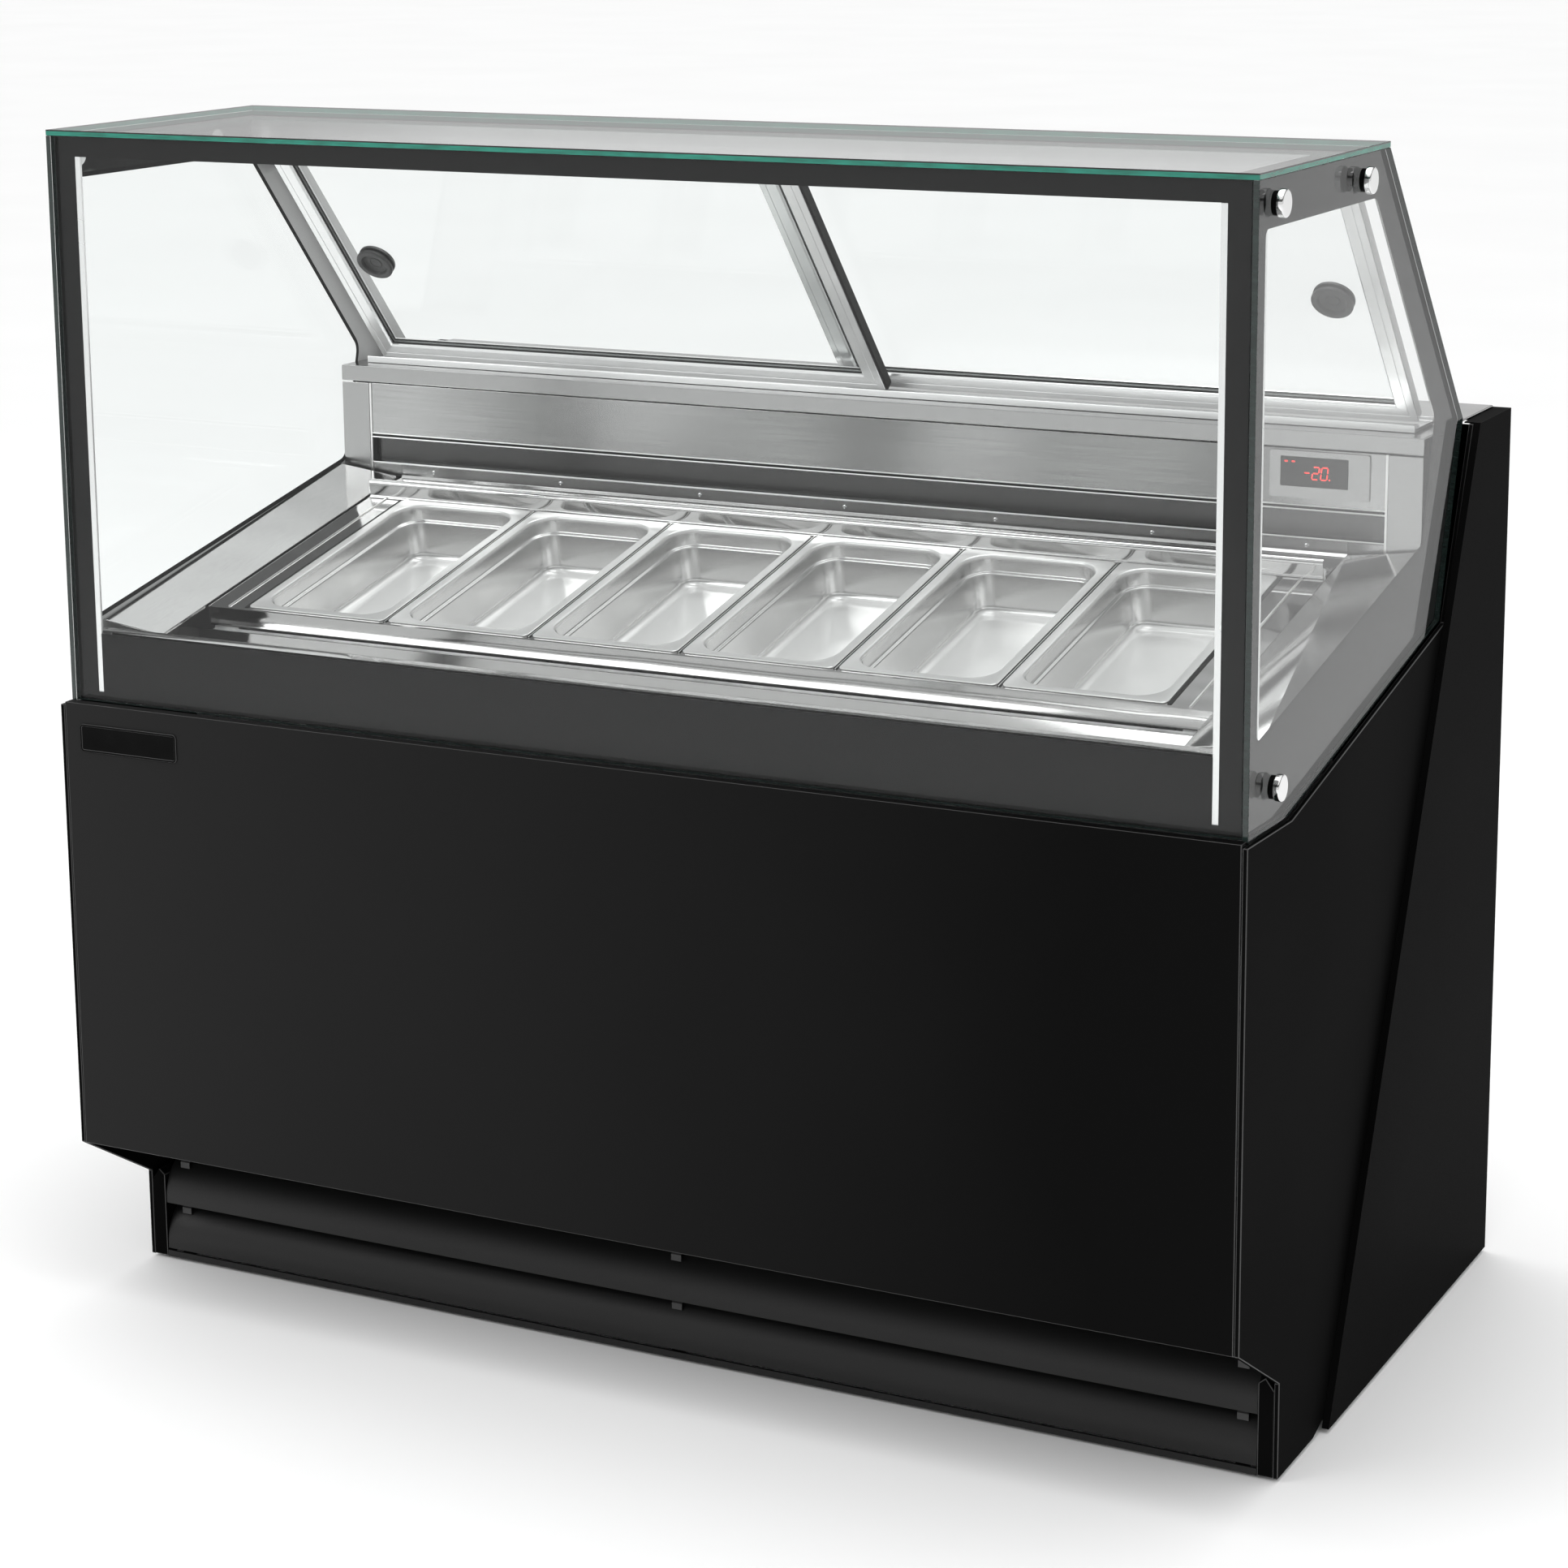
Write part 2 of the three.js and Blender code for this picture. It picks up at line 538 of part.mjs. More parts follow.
// Round clamps hold the side glass: a black spacer under a chrome cap.
const knob = turned([
  [0, 0], [KNOB_RADIUS - 2, 0], [KNOB_RADIUS - 2, 5], [KNOB_RADIUS, 5.4], [KNOB_RADIUS, 11],
  [KNOB_RADIUS - 1, 12.2], [0, 12.2],
], 24).rotateY(Math.PI / 2);
for (const [side, sign] of [['left', -1], ['right', 1]]) {
  KNOB_POSITIONS.forEach(([y, z], i) => {
    const mesh = node(cabinet, `glass_clamp_${side}_${i + 1}`, knob, chrome);
    mesh.position.set(sign * (GLASS_HALF_WIDTH + CLEARANCE), y, z);
    mesh.rotation.z = sign > 0 ? 0 : Math.PI;
  });
}

// ---- Slanted rear: posts, tracks and sliding doors ----------------------------------------------

// A point in the slanted plane: inward is the distance in from the glass's rear edge, along runs up it.
const SLANT = new THREE.Vector2(GLASS_TOP_BACK_Y - GLASS_REAR[0], HEIGHT - GLASS_REAR[1]).normalize();
function slanted(inward, along) {
  return [
    GLASS_REAR[0] + SLANT.x * along - SLANT.y * inward,
    GLASS_REAR[1] + SLANT.y * along + SLANT.x * inward,
  ];
}

function alongAtHeight(inward, z) {
  return (z - GLASS_REAR[1] - SLANT.x * inward) / SLANT.y;
}

const POST_INWARD = 17;
pair(cabinet, 'rear_post', blackPaint, (sign) => alongX([
  [683, WORKTOP_Z + 1], slanted(-8, alongAtHeight(-8, 1000)), slanted(-4, alongAtHeight(-4, TOP_GLASS_Z - 1)),
  slanted(POST_INWARD, alongAtHeight(POST_INWARD, TOP_GLASS_Z - 1)),
  slanted(POST_INWARD, alongAtHeight(POST_INWARD, WORKTOP_Z + 1)),
], ...span(sign, 652, WORKTOP_HALF_WIDTH)));

const TRACK_HALF_WIDTH = 651.5;
const trackFloor = WORKTOP_Z + 0.4;
node(cabinet, 'lower_door_track', alongX([
  [575, trackFloor], [575, 988], [578, 988], [578, 984.2],
  [640, 984.2], [640, 988], [643, 988], [643, trackFloor],
], -TRACK_HALF_WIDTH, TRACK_HALF_WIDTH), aluminium);

const trackCeiling = TOP_GLASS_Z - 0.5;
node(cabinet, 'upper_door_track', alongX([
  [352, 1252], [355, 1252], [355, 1262], [409, 1262], [409, 1257], [412, 1257], [412, 1268],
  [GLASS_TOP_BACK_Y, trackCeiling], [352, trackCeiling],
], -TRACK_HALF_WIDTH, TRACK_HALF_WIDTH), aluminium);

// A door is drawn in its own plane, x across and y up the slant, with its thickness centred on z = 0.
function doorPlane(offset) {
  const group = new THREE.Group();
  group.position.set(0, ...slanted(offset, 0));
  group.rotation.x = Math.atan2(SLANT.y, SLANT.x);
  return group;
}

function slidingDoor(name, offset, x0, x1, pullX) {
  const half = DOOR_THICKNESS / 2;
  const bottom = alongAtHeight(offset + half, DOOR_LOWEST_Z);
  const top = alongAtHeight(offset - half, DOOR_HIGHEST_Z);
  const door = doorPlane(offset);
  cabinet.add(door);
  const groove = DOOR_GLASS_THICKNESS / 2 + CLEARANCE;
  const bite = 8;
  node(door, `${name}_frame`, cut(block([x0, x1], [bottom, top], [-half, half]), [
    block([x0 + DOOR_STILE, x1 - DOOR_STILE], [bottom + DOOR_STILE, top - DOOR_STILE], [-half - 1, half + 1]),
    block([x0 + DOOR_STILE - bite, x1 - DOOR_STILE + bite],
      [bottom + DOOR_STILE - bite, top - DOOR_STILE + bite], [-groove, groove]),
  ]), aluminium);
  const inset = DOOR_STILE - bite + CLEARANCE;
  const pane = outline([
    [x0 + inset, bottom + inset], [x1 - inset, bottom + inset],
    [x1 - inset, top - inset], [x0 + inset, top - inset],
  ]);
  const hole = new THREE.Path();
  const barrel = PULL_RADIUS - 3.5;
  hole.absarc(pullX, PULL_ALONG, barrel, 0, Math.PI * 2, true);
  pane.holes.push(hole);
  const settings = { depth: DOOR_GLASS_THICKNESS, bevelEnabled: false, curveSegments: 12 };
  const glass = new THREE.ExtrudeGeometry(pane, settings);
  node(door, `${name}_glass`, glass.translate(0, 0, -DOOR_GLASS_THICKNESS / 2), clearGlass);
  const waist = barrel - 1;
  const cup = PULL_RADIUS - 8;
  const face = half - 1;
  const lip = DOOR_GLASS_THICKNESS / 2 + CLEARANCE;
  const pull = turned([
    [0, -1], [cup, -1], [cup, -face], [PULL_RADIUS, -face], [PULL_RADIUS, -lip], [waist, -lip], [waist, lip],
    [PULL_RADIUS, lip], [PULL_RADIUS, face], [cup, face], [cup, 1], [0, 1],
  ], 32);
  node(door, `${name}_pull`, pull, blackPlastic).position.set(pullX, PULL_ALONG, 0);
}

slidingDoor('left_door', FRONT_DOOR_OFFSET, -DOOR_OUTER_X, DOOR_OVERLAP_X, -DOOR_OUTER_X + PULL_FROM_EDGE);
slidingDoor('right_door', REAR_DOOR_OFFSET, -DOOR_OVERLAP_X, DOOR_OUTER_X, DOOR_OUTER_X - PULL_FROM_EDGE);

// ---- Refrigeration inside ----------------------------------------------------------------------

const compressorFloor = trayTop + CLEARANCE;
node(cabinet, 'compressor', turned([
  [0, 0], [95, 0], [95, 6], [82, 12], [82, 150], [62, 188], [28, 204], [0, 206],
], 28), castIron).position.set(-330, 500, compressorFloor);

// A heat exchanger is a core with fins standing proud on both faces, drawn as a comb outline in plan.
function finnedBlock([x0, x1], [y0, y1], [z0, z1], fins) {
  const pitch = (x1 - x0) / fins;
  const coreFront = y0 + 8;
  const coreBack = y1 - 8;
  const points = [];
  for (let i = 0; i < fins; i += 1) {
    const x = x0 + i * pitch;
    points.push([x, y0], [x + pitch / 2, y0], [x + pitch / 2, coreFront], [x + pitch, coreFront]);
  }
  for (let i = fins - 1; i >= 0; i -= 1) {
    const x = x0 + i * pitch;
    points.push([x + pitch, coreBack], [x + pitch / 2, coreBack], [x + pitch / 2, y1], [x, y1]);
  }
  const settings = { depth: z1 - z0, bevelEnabled: false };
  return new THREE.ExtrudeGeometry(outline(points), settings).translate(0, 0, z0);
}

node(cabinet, 'condenser', finnedBlock([90, 450], [690, 760], [60, 400], 30), finAluminium);
node(cabinet, 'evaporator', finnedBlock([-560, 400], [580, 650], [780, 950], 40), finAluminium);

// A fan turns about Y: a hub with pitched blades.
function fanRotor(radius, blades) {
  const hub = new THREE.CylinderGeometry(radius * 0.3, radius * 0.3, 26, 20);
  const parts = [hub];
  for (let i = 0; i < blades; i += 1) {
    const blade = new THREE.BoxGeometry(radius * 0.75, 2.5, radius * 0.42);
    blade.rotateX(THREE.MathUtils.degToRad(28));
    blade.translate(radius * 0.6, 0, 0);
    blade.rotateY((i * 2 * Math.PI) / blades);
    parts.push(blade);
  }
  return joined(parts);
}

node(cabinet, 'condenser_fan', fanRotor(120, 5), blackPlastic).position.set(270, 655, 230);
node(cabinet, 'evaporator_fan', fanRotor(70, 5), blackPlastic).position.set(540, 620, 865);

export default cabinet;
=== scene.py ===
"""Looks of the ice cream dipping cabinet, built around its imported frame. Metres, +Z up."""
import math

import bmesh
import bpy
from mathutils import Matrix, Vector
from mathutils.geometry import tessellate_polygon


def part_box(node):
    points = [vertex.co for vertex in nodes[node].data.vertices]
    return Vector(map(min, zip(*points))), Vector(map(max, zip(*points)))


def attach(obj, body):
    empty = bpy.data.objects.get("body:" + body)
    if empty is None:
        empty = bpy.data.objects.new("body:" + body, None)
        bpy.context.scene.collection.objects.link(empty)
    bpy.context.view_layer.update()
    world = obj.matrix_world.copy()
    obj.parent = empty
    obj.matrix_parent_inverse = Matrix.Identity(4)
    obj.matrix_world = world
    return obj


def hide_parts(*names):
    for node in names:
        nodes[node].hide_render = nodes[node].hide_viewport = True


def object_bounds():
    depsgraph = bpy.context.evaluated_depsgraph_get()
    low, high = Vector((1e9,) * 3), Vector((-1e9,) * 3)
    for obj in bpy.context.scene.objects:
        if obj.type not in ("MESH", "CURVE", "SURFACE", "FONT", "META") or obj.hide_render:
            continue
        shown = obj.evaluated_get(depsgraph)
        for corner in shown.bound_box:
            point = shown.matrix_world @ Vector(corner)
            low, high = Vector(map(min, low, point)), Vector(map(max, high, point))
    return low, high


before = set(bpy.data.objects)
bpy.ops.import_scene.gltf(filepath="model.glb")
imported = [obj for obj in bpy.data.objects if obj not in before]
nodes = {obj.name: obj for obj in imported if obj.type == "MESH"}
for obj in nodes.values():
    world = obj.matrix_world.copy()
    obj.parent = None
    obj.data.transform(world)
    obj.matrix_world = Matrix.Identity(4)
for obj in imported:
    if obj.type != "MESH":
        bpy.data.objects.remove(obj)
cad_low, cad_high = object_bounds()
scene = bpy.context.scene

# ---- Places ----
# Lengths are written in millimetres, as on the cabinet's drawing: x from the middle, y from the front
# panel's face and z from the floor.

MM = 0.001
FRONT_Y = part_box("front_panel")[0].y
TOP_Z = cad_high.z / MM

# The slanted rear edge of the side glass runs up from GLASS_REAR to GLASS_TOP_BACK, both (y, z).
GLASS_REAR = Vector((663, 985))
GLASS_TOP_BACK = Vector((391, TOP_Z))
SLANT = (GLASS_TOP_BACK - GLASS_REAR).normalized()

SIDES = {"left": -1, "right": 1}


def at(x, y, z):
    """A point of the drawing in the row frame."""
    return Vector((x * MM, FRONT_Y + y * MM, z * MM))


def drawn_box(node):
    """A CAD node's lowest and highest corners, in the drawing's millimetres."""
    low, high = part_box(node)
    to_drawing = Vector((0, FRONT_Y, 0))
    return (low - to_drawing) / MM, (high - to_drawing) / MM


# ---- Mesh building ----

def add_object(name, data):
    added = bpy.data.objects.new(name, data)
    scene.collection.objects.link(added)
    return added


def make_piece(name, shapes, look, body="cabinet", stands_for=(), matrix=None,
               smooth=None):
    """A new piece from (points, faces) shapes, in the row frame unless matrix places it.

    Edges flatter than smooth degrees are shaded smooth; stands_for names the CAD nodes it replaces.
    """
    points, faces = [], []
    for shape_points, shape_faces in shapes:
        start = len(points)
        points += [tuple(p) for p in shape_points]
        faces += [tuple(i + start for i in face) for face in shape_faces]
    mesh = bpy.data.meshes.new(name)
    mesh.from_pydata(points, [], faces)
    bm = bmesh.new()
    bm.from_mesh(mesh)
    bmesh.ops.recalc_face_normals(bm, faces=bm.faces)
    bm.to_mesh(mesh)
    bm.free()
    if smooth is not None:
        mesh.shade_smooth()
        mesh.set_sharp_from_angle(angle=math.radians(smooth))
    piece = add_object(name, mesh)
    if matrix is not None:
        piece.matrix_world = matrix
    mesh.materials.append(look)
    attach(piece, body)
    if stands_for:
        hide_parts(*stands_for)
    return piece


def ease_edges(piece, width=0.8, segments=2, edge_highlight_look=None):
    """Rounds a piece's sharp edges by width millimetres; the edge material, if given, covers only the
    rounding, as a painted highlight.
    """
    weld = piece.modifiers.new("weld", "WELD")
    weld.merge_threshold = 0.01 * MM
    bevel = piece.modifiers.new("eased_edges", "BEVEL")
    bevel.width = width * MM
    bevel.segments = segments
    bevel.limit_method = "ANGLE"
    bevel.angle_limit = math.radians(30)
    bevel.use_clamp_overlap = True
    if edge_highlight_look:
        piece.data.materials.append(edge_highlight_look)
        bevel.material = 1


def plate(outline, holes, place, low, high):
    """A sheet with holes, from height low to high; place(a, b, height) gives each point."""
    loops = [outline, *holes]
    flat = [point for loop in loops for point in loop]
    triangles = tessellate_polygon([[Vector((a, b, 0)) for a, b in loop] for loop in loops])
    count = len(flat)
    points = [place(a, b, low) for a, b in flat] + [place(a, b, high) for a, b in flat]
    faces = [tuple(t) for t in triangles]
    faces += [tuple(i + count for i in reversed(t)) for t in triangles]
    start = 0
    for loop in loops:
        for i in range(len(loop)):
            a, b = start + i, start + (i + 1) % len(loop)
            faces.append((a, b, b + count, a + count))
        start += len(loop)
    return points, faces


def facing_front(x, z, y):
    return at(x, y, z)


def facing_side(y, z, x):
    return at(x, y, z)


def facing_up(x, y, z):
    return at(x, y, z)


def cross_bar(section, x0, x1):
    """A bar from x0 to x1 with a (y, z) section."""
    return plate(section, [], facing_side, x0, x1)


def lofted(loops, closed=False):
    """Skins between loops of equal length, closed into a ring or with both ends capped."""
    count = len(loops[0])
    points = [p for loop in loops for p in loop]
    faces = []
    for k in range(len(loops) if closed else len(loops) - 1):
        this, following = k * count, ((k + 1) % len(loops)) * count
        for i in range(count):
            j = (i + 1) % count
            faces.append((this + i, this + j, following + j, following + i))
    if not closed:
        faces += [tuple(range(count)), tuple(range(len(points) - count, len(points)))]
    return points, faces


def turned(profile, segments=48):
    """A shape turned about Z from (radius, height) points, a ring if it starts off the axis."""
    smallest_radius = 0.001
    angles = [2 * math.pi * i / segments for i in range(segments)]
    loops = []
    for radius, height in profile:
        radius = max(radius, smallest_radius)
        ring = [(radius * math.cos(a), radius * math.sin(a)) for a in angles]
        loops.append([Vector((x, y, height)) * MM for x, y in ring])
    return lofted(loops, closed=profile[0][0] > 0)


def arc(centre, radius, start, end, steps):
    """Points on an arc, angles in degrees."""
    angles = [math.radians(start + (end - start) * i / steps) for i in range(steps + 1)]
    return [(centre[0] + radius * math.cos(a), centre[1] + radius * math.sin(a)) for a in angles]


def rounded_rectangle(half_x, half_y, radius, steps=8):
    points = []
    for corner, (sx, sy) in enumerate(((1, 1), (-1, 1), (-1, -1), (1, -1))):
        centre = (sx * (half_x - radius), sy * (half_y - radius))
        points += arc(centre, radius, 90 * corner, 90 * corner + 90, steps)
    return points


def shifted(points, da, db):
    return [(a + da, b + db) for a, b in points]


def thickened(path, thickness):
    """The outline of a bent sheet that follows path and is thickness thick to the left of it."""
    left = []
    for i, point in enumerate(path):
        before = Vector(path[max(i - 1, 0)])
        after = Vector(path[min(i + 1, len(path) - 1)])
        along = (after - before).normalized()
        left.append((point[0] - along.y * thickness, point[1] + along.x * thickness))
    return path + left[::-1]


def box_shape(low, high):
    """A box of the drawing, from its lowest to its highest corner."""
    (x0, y0, z0), (x1, y1, z1) = low, high
    return plate([(x0, y0), (x1, y0), (x1, y1), (x0, y1)], [], facing_up, z0, z1)


def placed(origin, x_axis, y_axis, z_axis):
    """The place at origin whose own axes point along the given ones."""
    return Matrix.Translation(origin) @ Matrix((x_axis, y_axis, z_axis)).transposed().to_4x4()


def axis_matrix(origin, direction):
    """Places a turned shape at origin with its Z along direction."""
    turn = Vector(direction).to_track_quat("Z", "Y").to_matrix().to_4x4()
    return Matrix.Translation(origin) @ turn


# ---- Materials ----

STEEL_WARMTH = 0.004


class Look:
    """A material's Principled shader with short ways to add detail to it."""

    def __init__(self, name, color, roughness, metallic=0.0, **sockets):
        self.material = bpy.data.materials.new(name)
        self.material.use_nodes = True
        self.tree = self.material.node_tree
        self.shader = self.tree.nodes["Principled BSDF"]
        self.output = self.tree.nodes["Material Output"]
        self.set(self.shader, "Base Color", (*color, 1))
        self.set(self.shader, "Roughness", roughness)
        self.set(self.shader, "Metallic", metallic)
        for socket, value in sockets.items():
            self.set(self.shader, socket.replace("_", " "), value)

    @staticmethod
    def set(node, socket, value):
        node.inputs[socket].default_value = value

    def link(self, output, node_input):
        self.tree.links.new(output, node_input)

    def node(self, kind, **values):
        made = self.tree.nodes.new("ShaderNode" + kind)
        for key, value in values.items():
            setattr(made, key, value)
        return made

    def math(self, operation, a, b=None, c=None):
        made = self.node("Math", operation=operation)
        for i, value in enumerate((a, b, c)):
            if isinstance(value, bpy.types.NodeSocket):
                self.link(value, made.inputs[i])
            elif value is not None:
                made.inputs[i].default_value = value
        return made.outputs[0]

    def parts(self, vector):
        """The x, y and z of a vector."""
        split = self.node("SeparateXYZ")
        self.link(vector, split.inputs[0])
        return split.outputs

    def mixed(self, factor, low, high):
        """The colour low where factor is 0 and high where it's 1; each is a colour or an output."""
        mix = self.node("Mix", data_type="RGBA")
        self.link(factor, mix.inputs[0])
        for socket, color in ((6, low), (7, high)):
            if isinstance(color, bpy.types.NodeSocket):
                self.link(color, mix.inputs[socket])
            else:
                mix.inputs[socket].default_value = (*color, 1)
        return mix.outputs[2]

    def mixed_shader(self, factor, low, high):
        mix = self.node("MixShader")
        for i, output in enumerate((factor, low, high)):
            self.link(output, mix.inputs[i])
        return mix.outputs[0]

    def place(self, stretch=(1, 1, 1)):
        """The piece's own coordinates in metres, scaled along each axis."""
        mapping = self.node("Mapping")
        self.set(mapping, "Scale", stretch)
        self.link(self.node("TexCoord").outputs["Object"], mapping.inputs["Vector"])
        return mapping.outputs[0]

    def noise(self, size, stretch=(1, 1, 1), detail=3, distortion=0.0):
        """Noise with features about size millimetres across, drawn out where stretch is small."""
        texture = self.node("TexNoise")
        self.set(texture, "Scale", 1000 / size)
        self.set(texture, "Detail", detail)
        self.set(texture, "Distortion", distortion)
        self.link(self.place(stretch), texture.inputs["Vector"])
        return texture.outputs["Fac"]

    def between(self, value, low, high, start=0.3, end=0.7):
        """Goes from low to high as value goes from start to end."""
        mapping = self.node("MapRange")
        self.link(value, mapping.inputs["Value"])
        ends = {"From Min": start, "From Max": end, "To Min": low, "To Max": high}
        for socket, number in ends.items():
            self.set(mapping, socket, number)
        return mapping.outputs[0]

    def vary_roughness(self, value, low, high):
        self.link(self.between(value, low, high), self.shader.inputs["Roughness"])

    def vary_color(self, value, low, high, start=0.3, end=0.7):
        """Makes the base colour go from low to high as value goes from start to end."""
        color = self.mixed(self.between(value, 0, 1, start, end), low, high)
        self.link(color, self.shader.inputs["Base Color"])
        return color

    def bump(self, *layers):
        """Stacks (height, depth in millimetres) layers into the surface's normal."""
        normal = None
        for height, depth in layers:
            made = self.node("Bump")
            self.set(made, "Strength", 1.0)
            self.set(made, "Distance", depth * MM)
            self.link(height, made.inputs["Height"])
            if normal is not None:
                self.link(normal, made.inputs["Normal"])
            normal = made.outputs[0]
        self.link(normal, self.shader.inputs["Normal"])


def grey(value, warm=0.0):
    return (value * (1 + warm), value, value * (1 - warm))


def powder_coat(name, tone, roughness=0.42, specular=0.07, left_painted_highlight_tone=None):
    """Fine-grained black paint; the left tone, if given, is a painted highlight that makes the paint
    lighter towards the cabinet's left end.
    """
    look = Look(name, grey(tone), roughness, Specular_IOR_Level=specular)
    grain = look.noise(1.1, detail=2)
    cloud = look.noise(260, detail=2)
    if left_painted_highlight_tone:
        # Painted highlight: the base colour gets lighter towards the left end.
        shade = look.math("MULTIPLY_ADD", cloud, 0.15, look.parts(look.place())[0])
        look.vary_color(shade, grey(left_painted_highlight_tone), grey(tone), -0.7, 0.6)
    else:
        look.vary_color(cloud, grey(tone * 0.8), grey(tone * 1.25))
    look.vary_roughness(grain, roughness - 0.05, roughness + 0.07)
    look.bump((grain, 0.012))
    return look.material


def brushed_steel(name, tone, roughness, stretch, wave=0.0, cloudiness=0.03):
    """Steel with fine lines drawn out along the axis whose stretch is small, and soft clouds.

    wave is the depth in millimetres of its slow waves, and cloudiness the share its tone varies by.
    """
    look = Look(name, grey(tone, STEEL_WARMTH), roughness, 1.0)
    lines = look.noise(2.2, stretch, detail=3)
    cloud = look.noise(150, detail=2)
    wide_cloud = look.math("MULTIPLY", look.noise(330, (1, 1, 0.5), detail=1), 0.9)
    shade = look.math("MULTIPLY_ADD", lines, 0.1, wide_cloud)
    dark, bright = (grey(tone * (1 + part), STEEL_WARMTH) for part in (-cloudiness, cloudiness))
    look.vary_color(shade, dark, bright)
    look.vary_roughness(cloud, roughness - 0.03, roughness + 0.04)
    layers = [(lines, 0.0008)]
    if wave:
        layers.append((look.noise(140, detail=1), wave))
    look.bump(*layers)
    return look.material


def polished_steel(name, tone, wave, roughness=0.07):
    """Polished sheet with waves of depth wave in millimetres and hairline wiping marks."""
    look = Look(name, grey(tone, STEEL_WARMTH), roughness, 1.0)
    sheet = look.noise(75, (0.35, 1, 1), detail=1, distortion=0.4)
    hairs = look.noise(40, (0.08, 1, 1), detail=3)
    look.vary_roughness(hairs, roughness - 0.03, roughness + 0.05)
    look.bump((sheet, wave))
    return look.material


def aluminium(name, tone, roughness, stretch):
    """Satin anodised aluminium, with lines drawn out along the axis whose stretch is small."""
    look = Look(name, grey(tone), roughness, 0.72)
    lines = look.noise(1.8, stretch, detail=3)
    look.vary_roughness(look.noise(60, detail=2), roughness - 0.04, roughness + 0.05)
    look.vary_color(lines, grey(tone * 0.97), grey(tone * 1.02))
    look.bump((lines, 0.001))
    return look.material


def moulded_plastic(name, tone, roughness, grain_size=0.6, specular=0.4):
    look = Look(name, grey(tone), roughness, Specular_IOR_Level=specular)
    grain = look.noise(grain_size, detail=2)
    look.vary_roughness(grain, roughness - 0.06, roughness + 0.08)
    look.vary_color(look.noise(25), grey(tone * 0.8), grey(tone * 1.3))
    look.bump((grain, 0.02))
    return look.material


def chrome_look():
    look = Look("chrome", grey(0.78), 0.05, 1.0)
    look.vary_roughness(look.noise(5, detail=4), 0.03, 0.1)
    return look.material


def axis_share(look, axis):
    """How squarely the surface faces along an axis, from 0 to 1."""
    normal = look.parts(look.node("NewGeometry").outputs["Normal"])
    return look.math("ABSOLUTE", normal["XYZ".index(axis)])


GLASS_TINT = (0.985, 0.992, 0.99)
GLASS_EDGE = (0.012, 0.02, 0.018)
TOP_GLASS_EDGE = (0.006, 0.15, 0.105)


def clear_glass(name, face_axis=None, edge=GLASS_EDGE, rim=None):
    """Thin clear glass. Its narrow faces, which don't look along face_axis, show the edge colour.

    The edge turns dark above the height rim, in millimetres.
    """
    look = Look(name, edge, 0.12, Specular_IOR_Level=0.6)
    facing = look.node("LayerWeight")
    look.set(facing, "Blend", 0.5)
    grazing = look.math("POWER", facing.outputs["Facing"], 5)
    mirror = look.math("MULTIPLY_ADD", grazing, 0.7, 0.018)
    seen_through = look.node("BsdfTransparent")
    look.set(seen_through, "Color", (*GLASS_TINT, 1))
    gloss = look.node("BsdfGlossy")
    look.set(gloss, "Roughness", 0.015)
    shown = look.mixed_shader(mirror, seen_through.outputs[0], gloss.outputs[0])
    if face_axis:
        depth = look.noise(4, (0.15, 0.15, 1), detail=2)
        dark, bright = (tuple(c * share for c in edge) for share in (0.75, 1.3))
        color = look.vary_color(depth, dark, bright)
        if rim is not None:
            above = look.math("GREATER_THAN", look.parts(look.place())[2], rim * MM)
            look.link(look.mixed(above, color, grey(0.004)), look.shader.inputs["Base Color"])
        on_edge = look.math("LESS_THAN", axis_share(look, face_axis), 0.8)
        shown = look.mixed_shader(on_edge, shown, look.shader.outputs[0])
    look.link(shown, look.output.inputs["Surface"])
    return look.material


def uneven_height(look):
    """The height in metres, made a little uneven so that what shades with it isn't perfectly even."""
    unevenness = look.math("MULTIPLY_ADD", look.noise(70, detail=3), 0.06, -0.03)
    return look.math("ADD", look.parts(look.place())[2], unevenness)


def glass_print(name, low_tone, high_tone, low_z=0, high_z=TOP_Z):
    """The enamel fired on behind the glass, shading from low_tone to high_tone as it goes up."""
    look = Look(name, grey(high_tone), 0.5, Specular_IOR_Level=0.05)
    look.vary_color(uneven_height(look), grey(low_tone), grey(high_tone), low_z * MM, high_z * MM)
    return look.material


def two_faced_print(name, outside_low, outside_high, inside_tone):
    """Side enamel: dark outside, and light grey towards the pans except along its top, where the inside
    is darkened as painted shade.
    """
    look = Look(name, grey(inside_tone), 0.5, Specular_IOR_Level=0.05)
    place_x = look.parts(look.place())[0]
    normal_x = look.parts(look.node("NewGeometry").outputs["Normal"])[0]
    facing_in = look.math("LESS_THAN", look.math("MULTIPLY", place_x, normal_x), 0.0)
    level = uneven_height(look)
    outside = look.vary_color(level, grey(outside_low), grey(outside_high), 0.7, 1.25)
    # Painted shade: the inside face turns dark along the top.
    inside = look.vary_color(level, grey(inside_tone), grey(0.02), 1.225, 1.25)
    look.link(look.mixed(facing_in, outside, inside), look.shader.inputs["Base Color"])
    return look.material


def two_faced_post(name, outer, inner):
    """Black powder coat on the outer slanted face and plain metal on the faces inside."""
    look = Look(name, grey(inner), 0.32, 1.0)
    outward = look.node("VectorMath", operation="DOT_PRODUCT")
    outward.inputs[1].default_value = (0, SLANT.y, -SLANT.x)
    look.link(look.node("NewGeometry").outputs["Normal"], outward.inputs[0])
    outside = look.math("GREATER_THAN", outward.outputs["Value"], 0.3)
    look.vary_color(outside, grey(inner), grey(outer), 0, 1)
    look.link(look.math("SUBTRACT", 1.0, outside), look.shader.inputs["Metallic"])
    look.bump((look.noise(1.2), 0.012))
    return look.material


def glowing(name, color, strength):
    """Lit figures behind a dark window."""
    look = Look(name, color, 0.4)
    look.set(look.shader, "Emission Color", (*color, 1))
    look.set(look.shader, "Emission Strength", strength)
    look.vary_color(look.noise(2), tuple(c * 0.85 for c in color), color)
    return look.material


